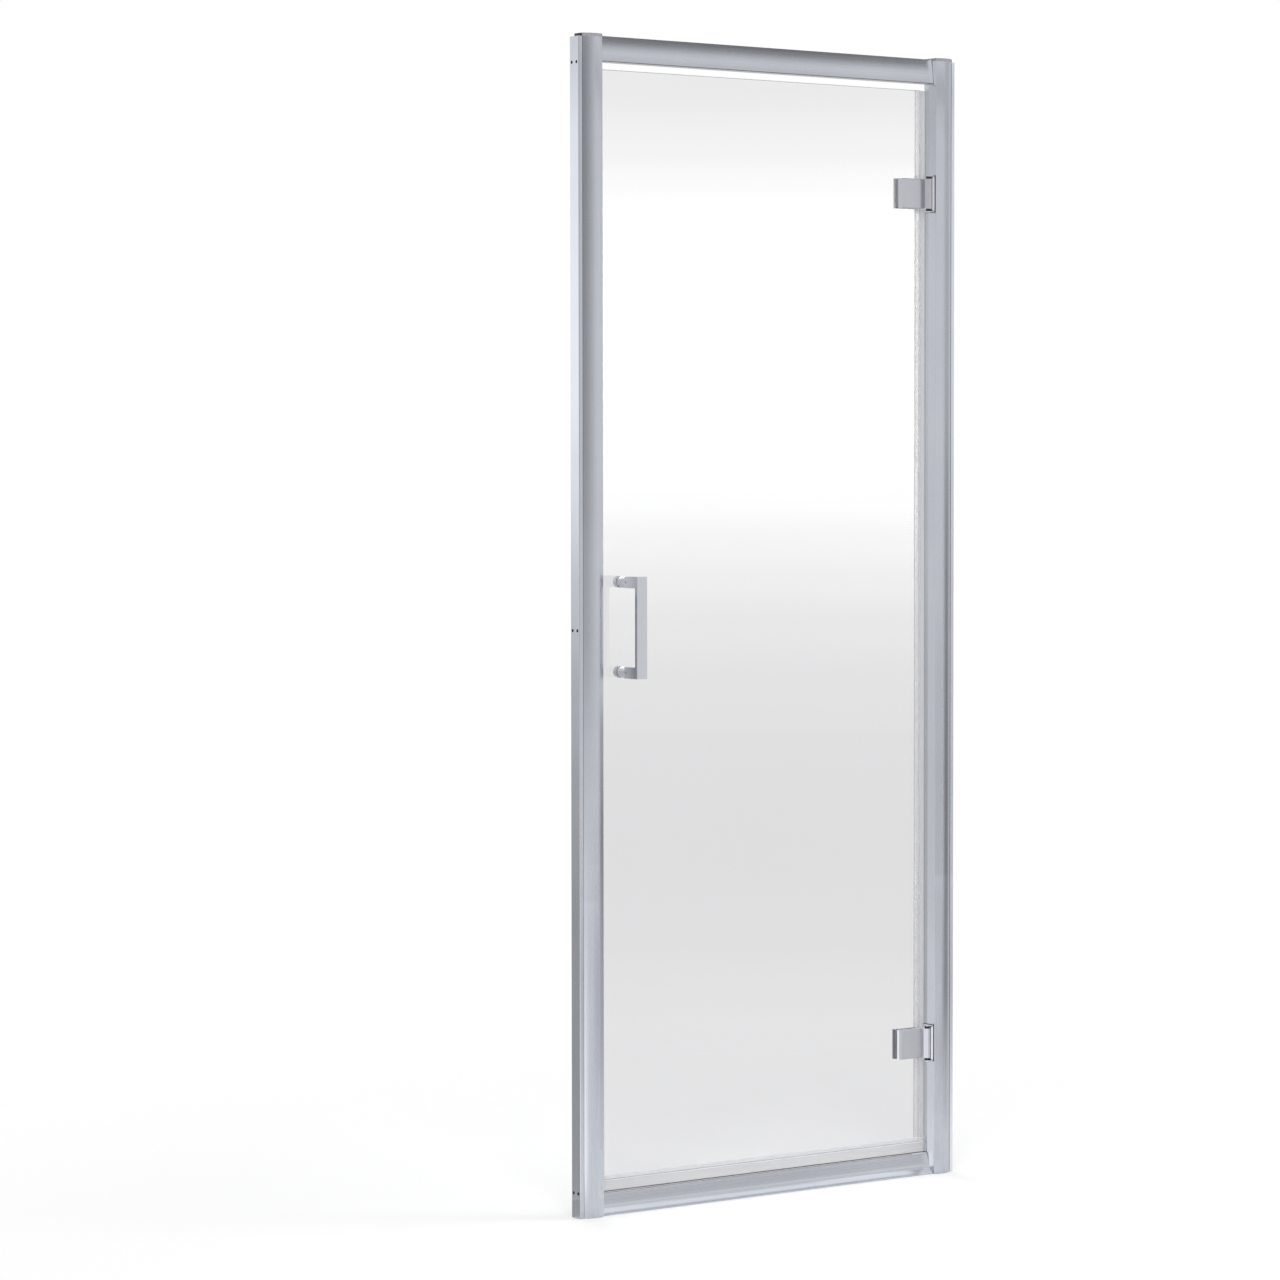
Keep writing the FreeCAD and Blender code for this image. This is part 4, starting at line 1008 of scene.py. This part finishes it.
# Top rail, posts and channels
mirrored_panel(
    "rail_flag", (0.23, 0.0), 0.0, 0.25, 0.95,
    [(1.8, 0.55), (1.835, 0.7), (1.865, 1.1), (1.895, 1.25), (1.92, 1.0), (1.945, 0.55),
     (1.98, 0.2), (2.05, 0.08), (3.0, 0.05)],
    clear=(0.42, 0.5),
)
mirrored_panel(
    "right_flag", (0.36, -0.015), 65.0, 0.25, 0.32,
    [(0.0, 1.1), (0.08, 0.85), (0.3, 0.4), (0.6, 0.3), (0.95, 0.4), (1.4, 0.7), (1.9, 0.75)],
    clear=(0.12, 0.5),
)
mirrored_panel(
    "left_panel", (-0.37, -0.012), -5.0, 0.2, 0.5,
    [(0.65, 0.93), (0.97, 0.6), (1.28, 0.45), (1.6, 0.4), (1.9, 0.37)],
    clear=(-0.28, 0.48), one_sided=True,
)
mirrored_panel(
    "low_left_panel", (-0.37, -0.012), -5.0, 0.2, 0.5,
    [(0.0, 3.3), (0.06, 3.1), (0.18, 2.7), (0.34, 2.05), (0.5, 1.4), (0.65, 0.93)],
    clear=(-0.5, 0.0), one_sided=True,
)
mirrored_panel(
    "left_flag", (-0.345, -0.014), 75.0, 0.035, 0.046,
    [(0.1, 0.95), (0.35, 0.62), (0.6, 0.42), (0.75, 0.58), (0.84, 0.95)],
    clear=(0.15, 0.5),
)
mirrored_panel(
    "back_left_flag", (-0.378, 0.0), SIDE_MIRRORS, 0.15, 0.35,
    [(0.0, 0.52), (0.45, 0.54), (0.65, 0.64), (0.8, 0.78), (0.97, 1.0), (1.15, 1.38),
     (1.3, 1.55), (1.65, 1.5), (1.9, 1.1), (2.1, 1.0)],
)
mirrored_panel(
    "channel_foot_flag", (-0.378, 0.0), SIDE_MIRRORS, 0.011, 0.024,
    [(0.0, 0.55), (0.026, 0.52)],
    clear=(0.3, 0.5),
)
mirrored_panel(
    "right_soft_flag", (0.352, -0.018), 8.0, 0.4, 0.5,
    [(0.2, 1.0), (0.3, 0.88), (0.45, 0.82), (0.65, 0.82), (0.8, 0.86), (1.0, 0.97), (1.1, 1.0)],
)

# Hinge side of the door, the hinges and the handle
mirrored_panel(
    "hinge_fill", (0.319, 0.005), 0.0, 0.0, 0.03,
    [(0.0, 1.25), (0.15, 1.1), (0.6, 0.93), (1.3, 0.98), (1.55, 1.0), (1.75, 0.82), (1.9, 0.8)],
    clear=SHARP_SIDES,
)
mirrored_panel(
    "fin_card", (0.3283, 0.0115), 0.0, 0.0, 0.0125,
    [(0.05, 0.85), (0.15, 0.8), (0.3, 0.72), (0.8, 0.72), (1.1, 0.85), (1.4, 0.93), (1.7, 0.8),
     (1.8, 0.75)],
    clear=SHARP_SIDES,
)
mirrored_panel(
    "hinge_card", (0.31, -0.005), BEVEL_MIRRORS, 0.15, 0.16,
    [(0.1, 1.4), (0.33, 1.4), (0.36, 1.0), (1.5, 1.0), (1.55, 0.78), (1.75, 0.78)],
)
mirrored_panel(
    "leaf_flag", (0.262, 0.0068), 0.0, 0.0, 0.022,
    [(0.15, 1.6), (0.26, 1.6), (1.58, 0.95), (1.7, 0.95)],
    clear=SHARP_SIDES,
)
mirrored_panel(
    "back_plate_flag", (0.276, 0.0185), SIDE_MIRRORS, 0.02, 0.03,
    [(0.17, 0.25), (0.27, 0.25), (1.57, 0.25), (1.69, 0.25)],
    clear=SHARP_SIDES,
)
mirrored_panel(
    "bevel_card", (0.2746, 0.0), BEVEL_MIRRORS, 0.02, 0.024,
    [(0.15, 0.95), (0.27, 0.95), (1.57, 0.95), (1.7, 0.95)],
    clear=(0.4, 0.5),
)
mirrored_panel(
    "handle_fill", (-0.3155, 0.004), 0.0, 0.0, 0.03,
    [(0.975, 0.85), (1.0, 0.9), (1.015, 0.9)],
    clear=SHARP_SIDES,
)
photo_camera()
bpy.context.scene.view_settings.view_transform = "Standard"
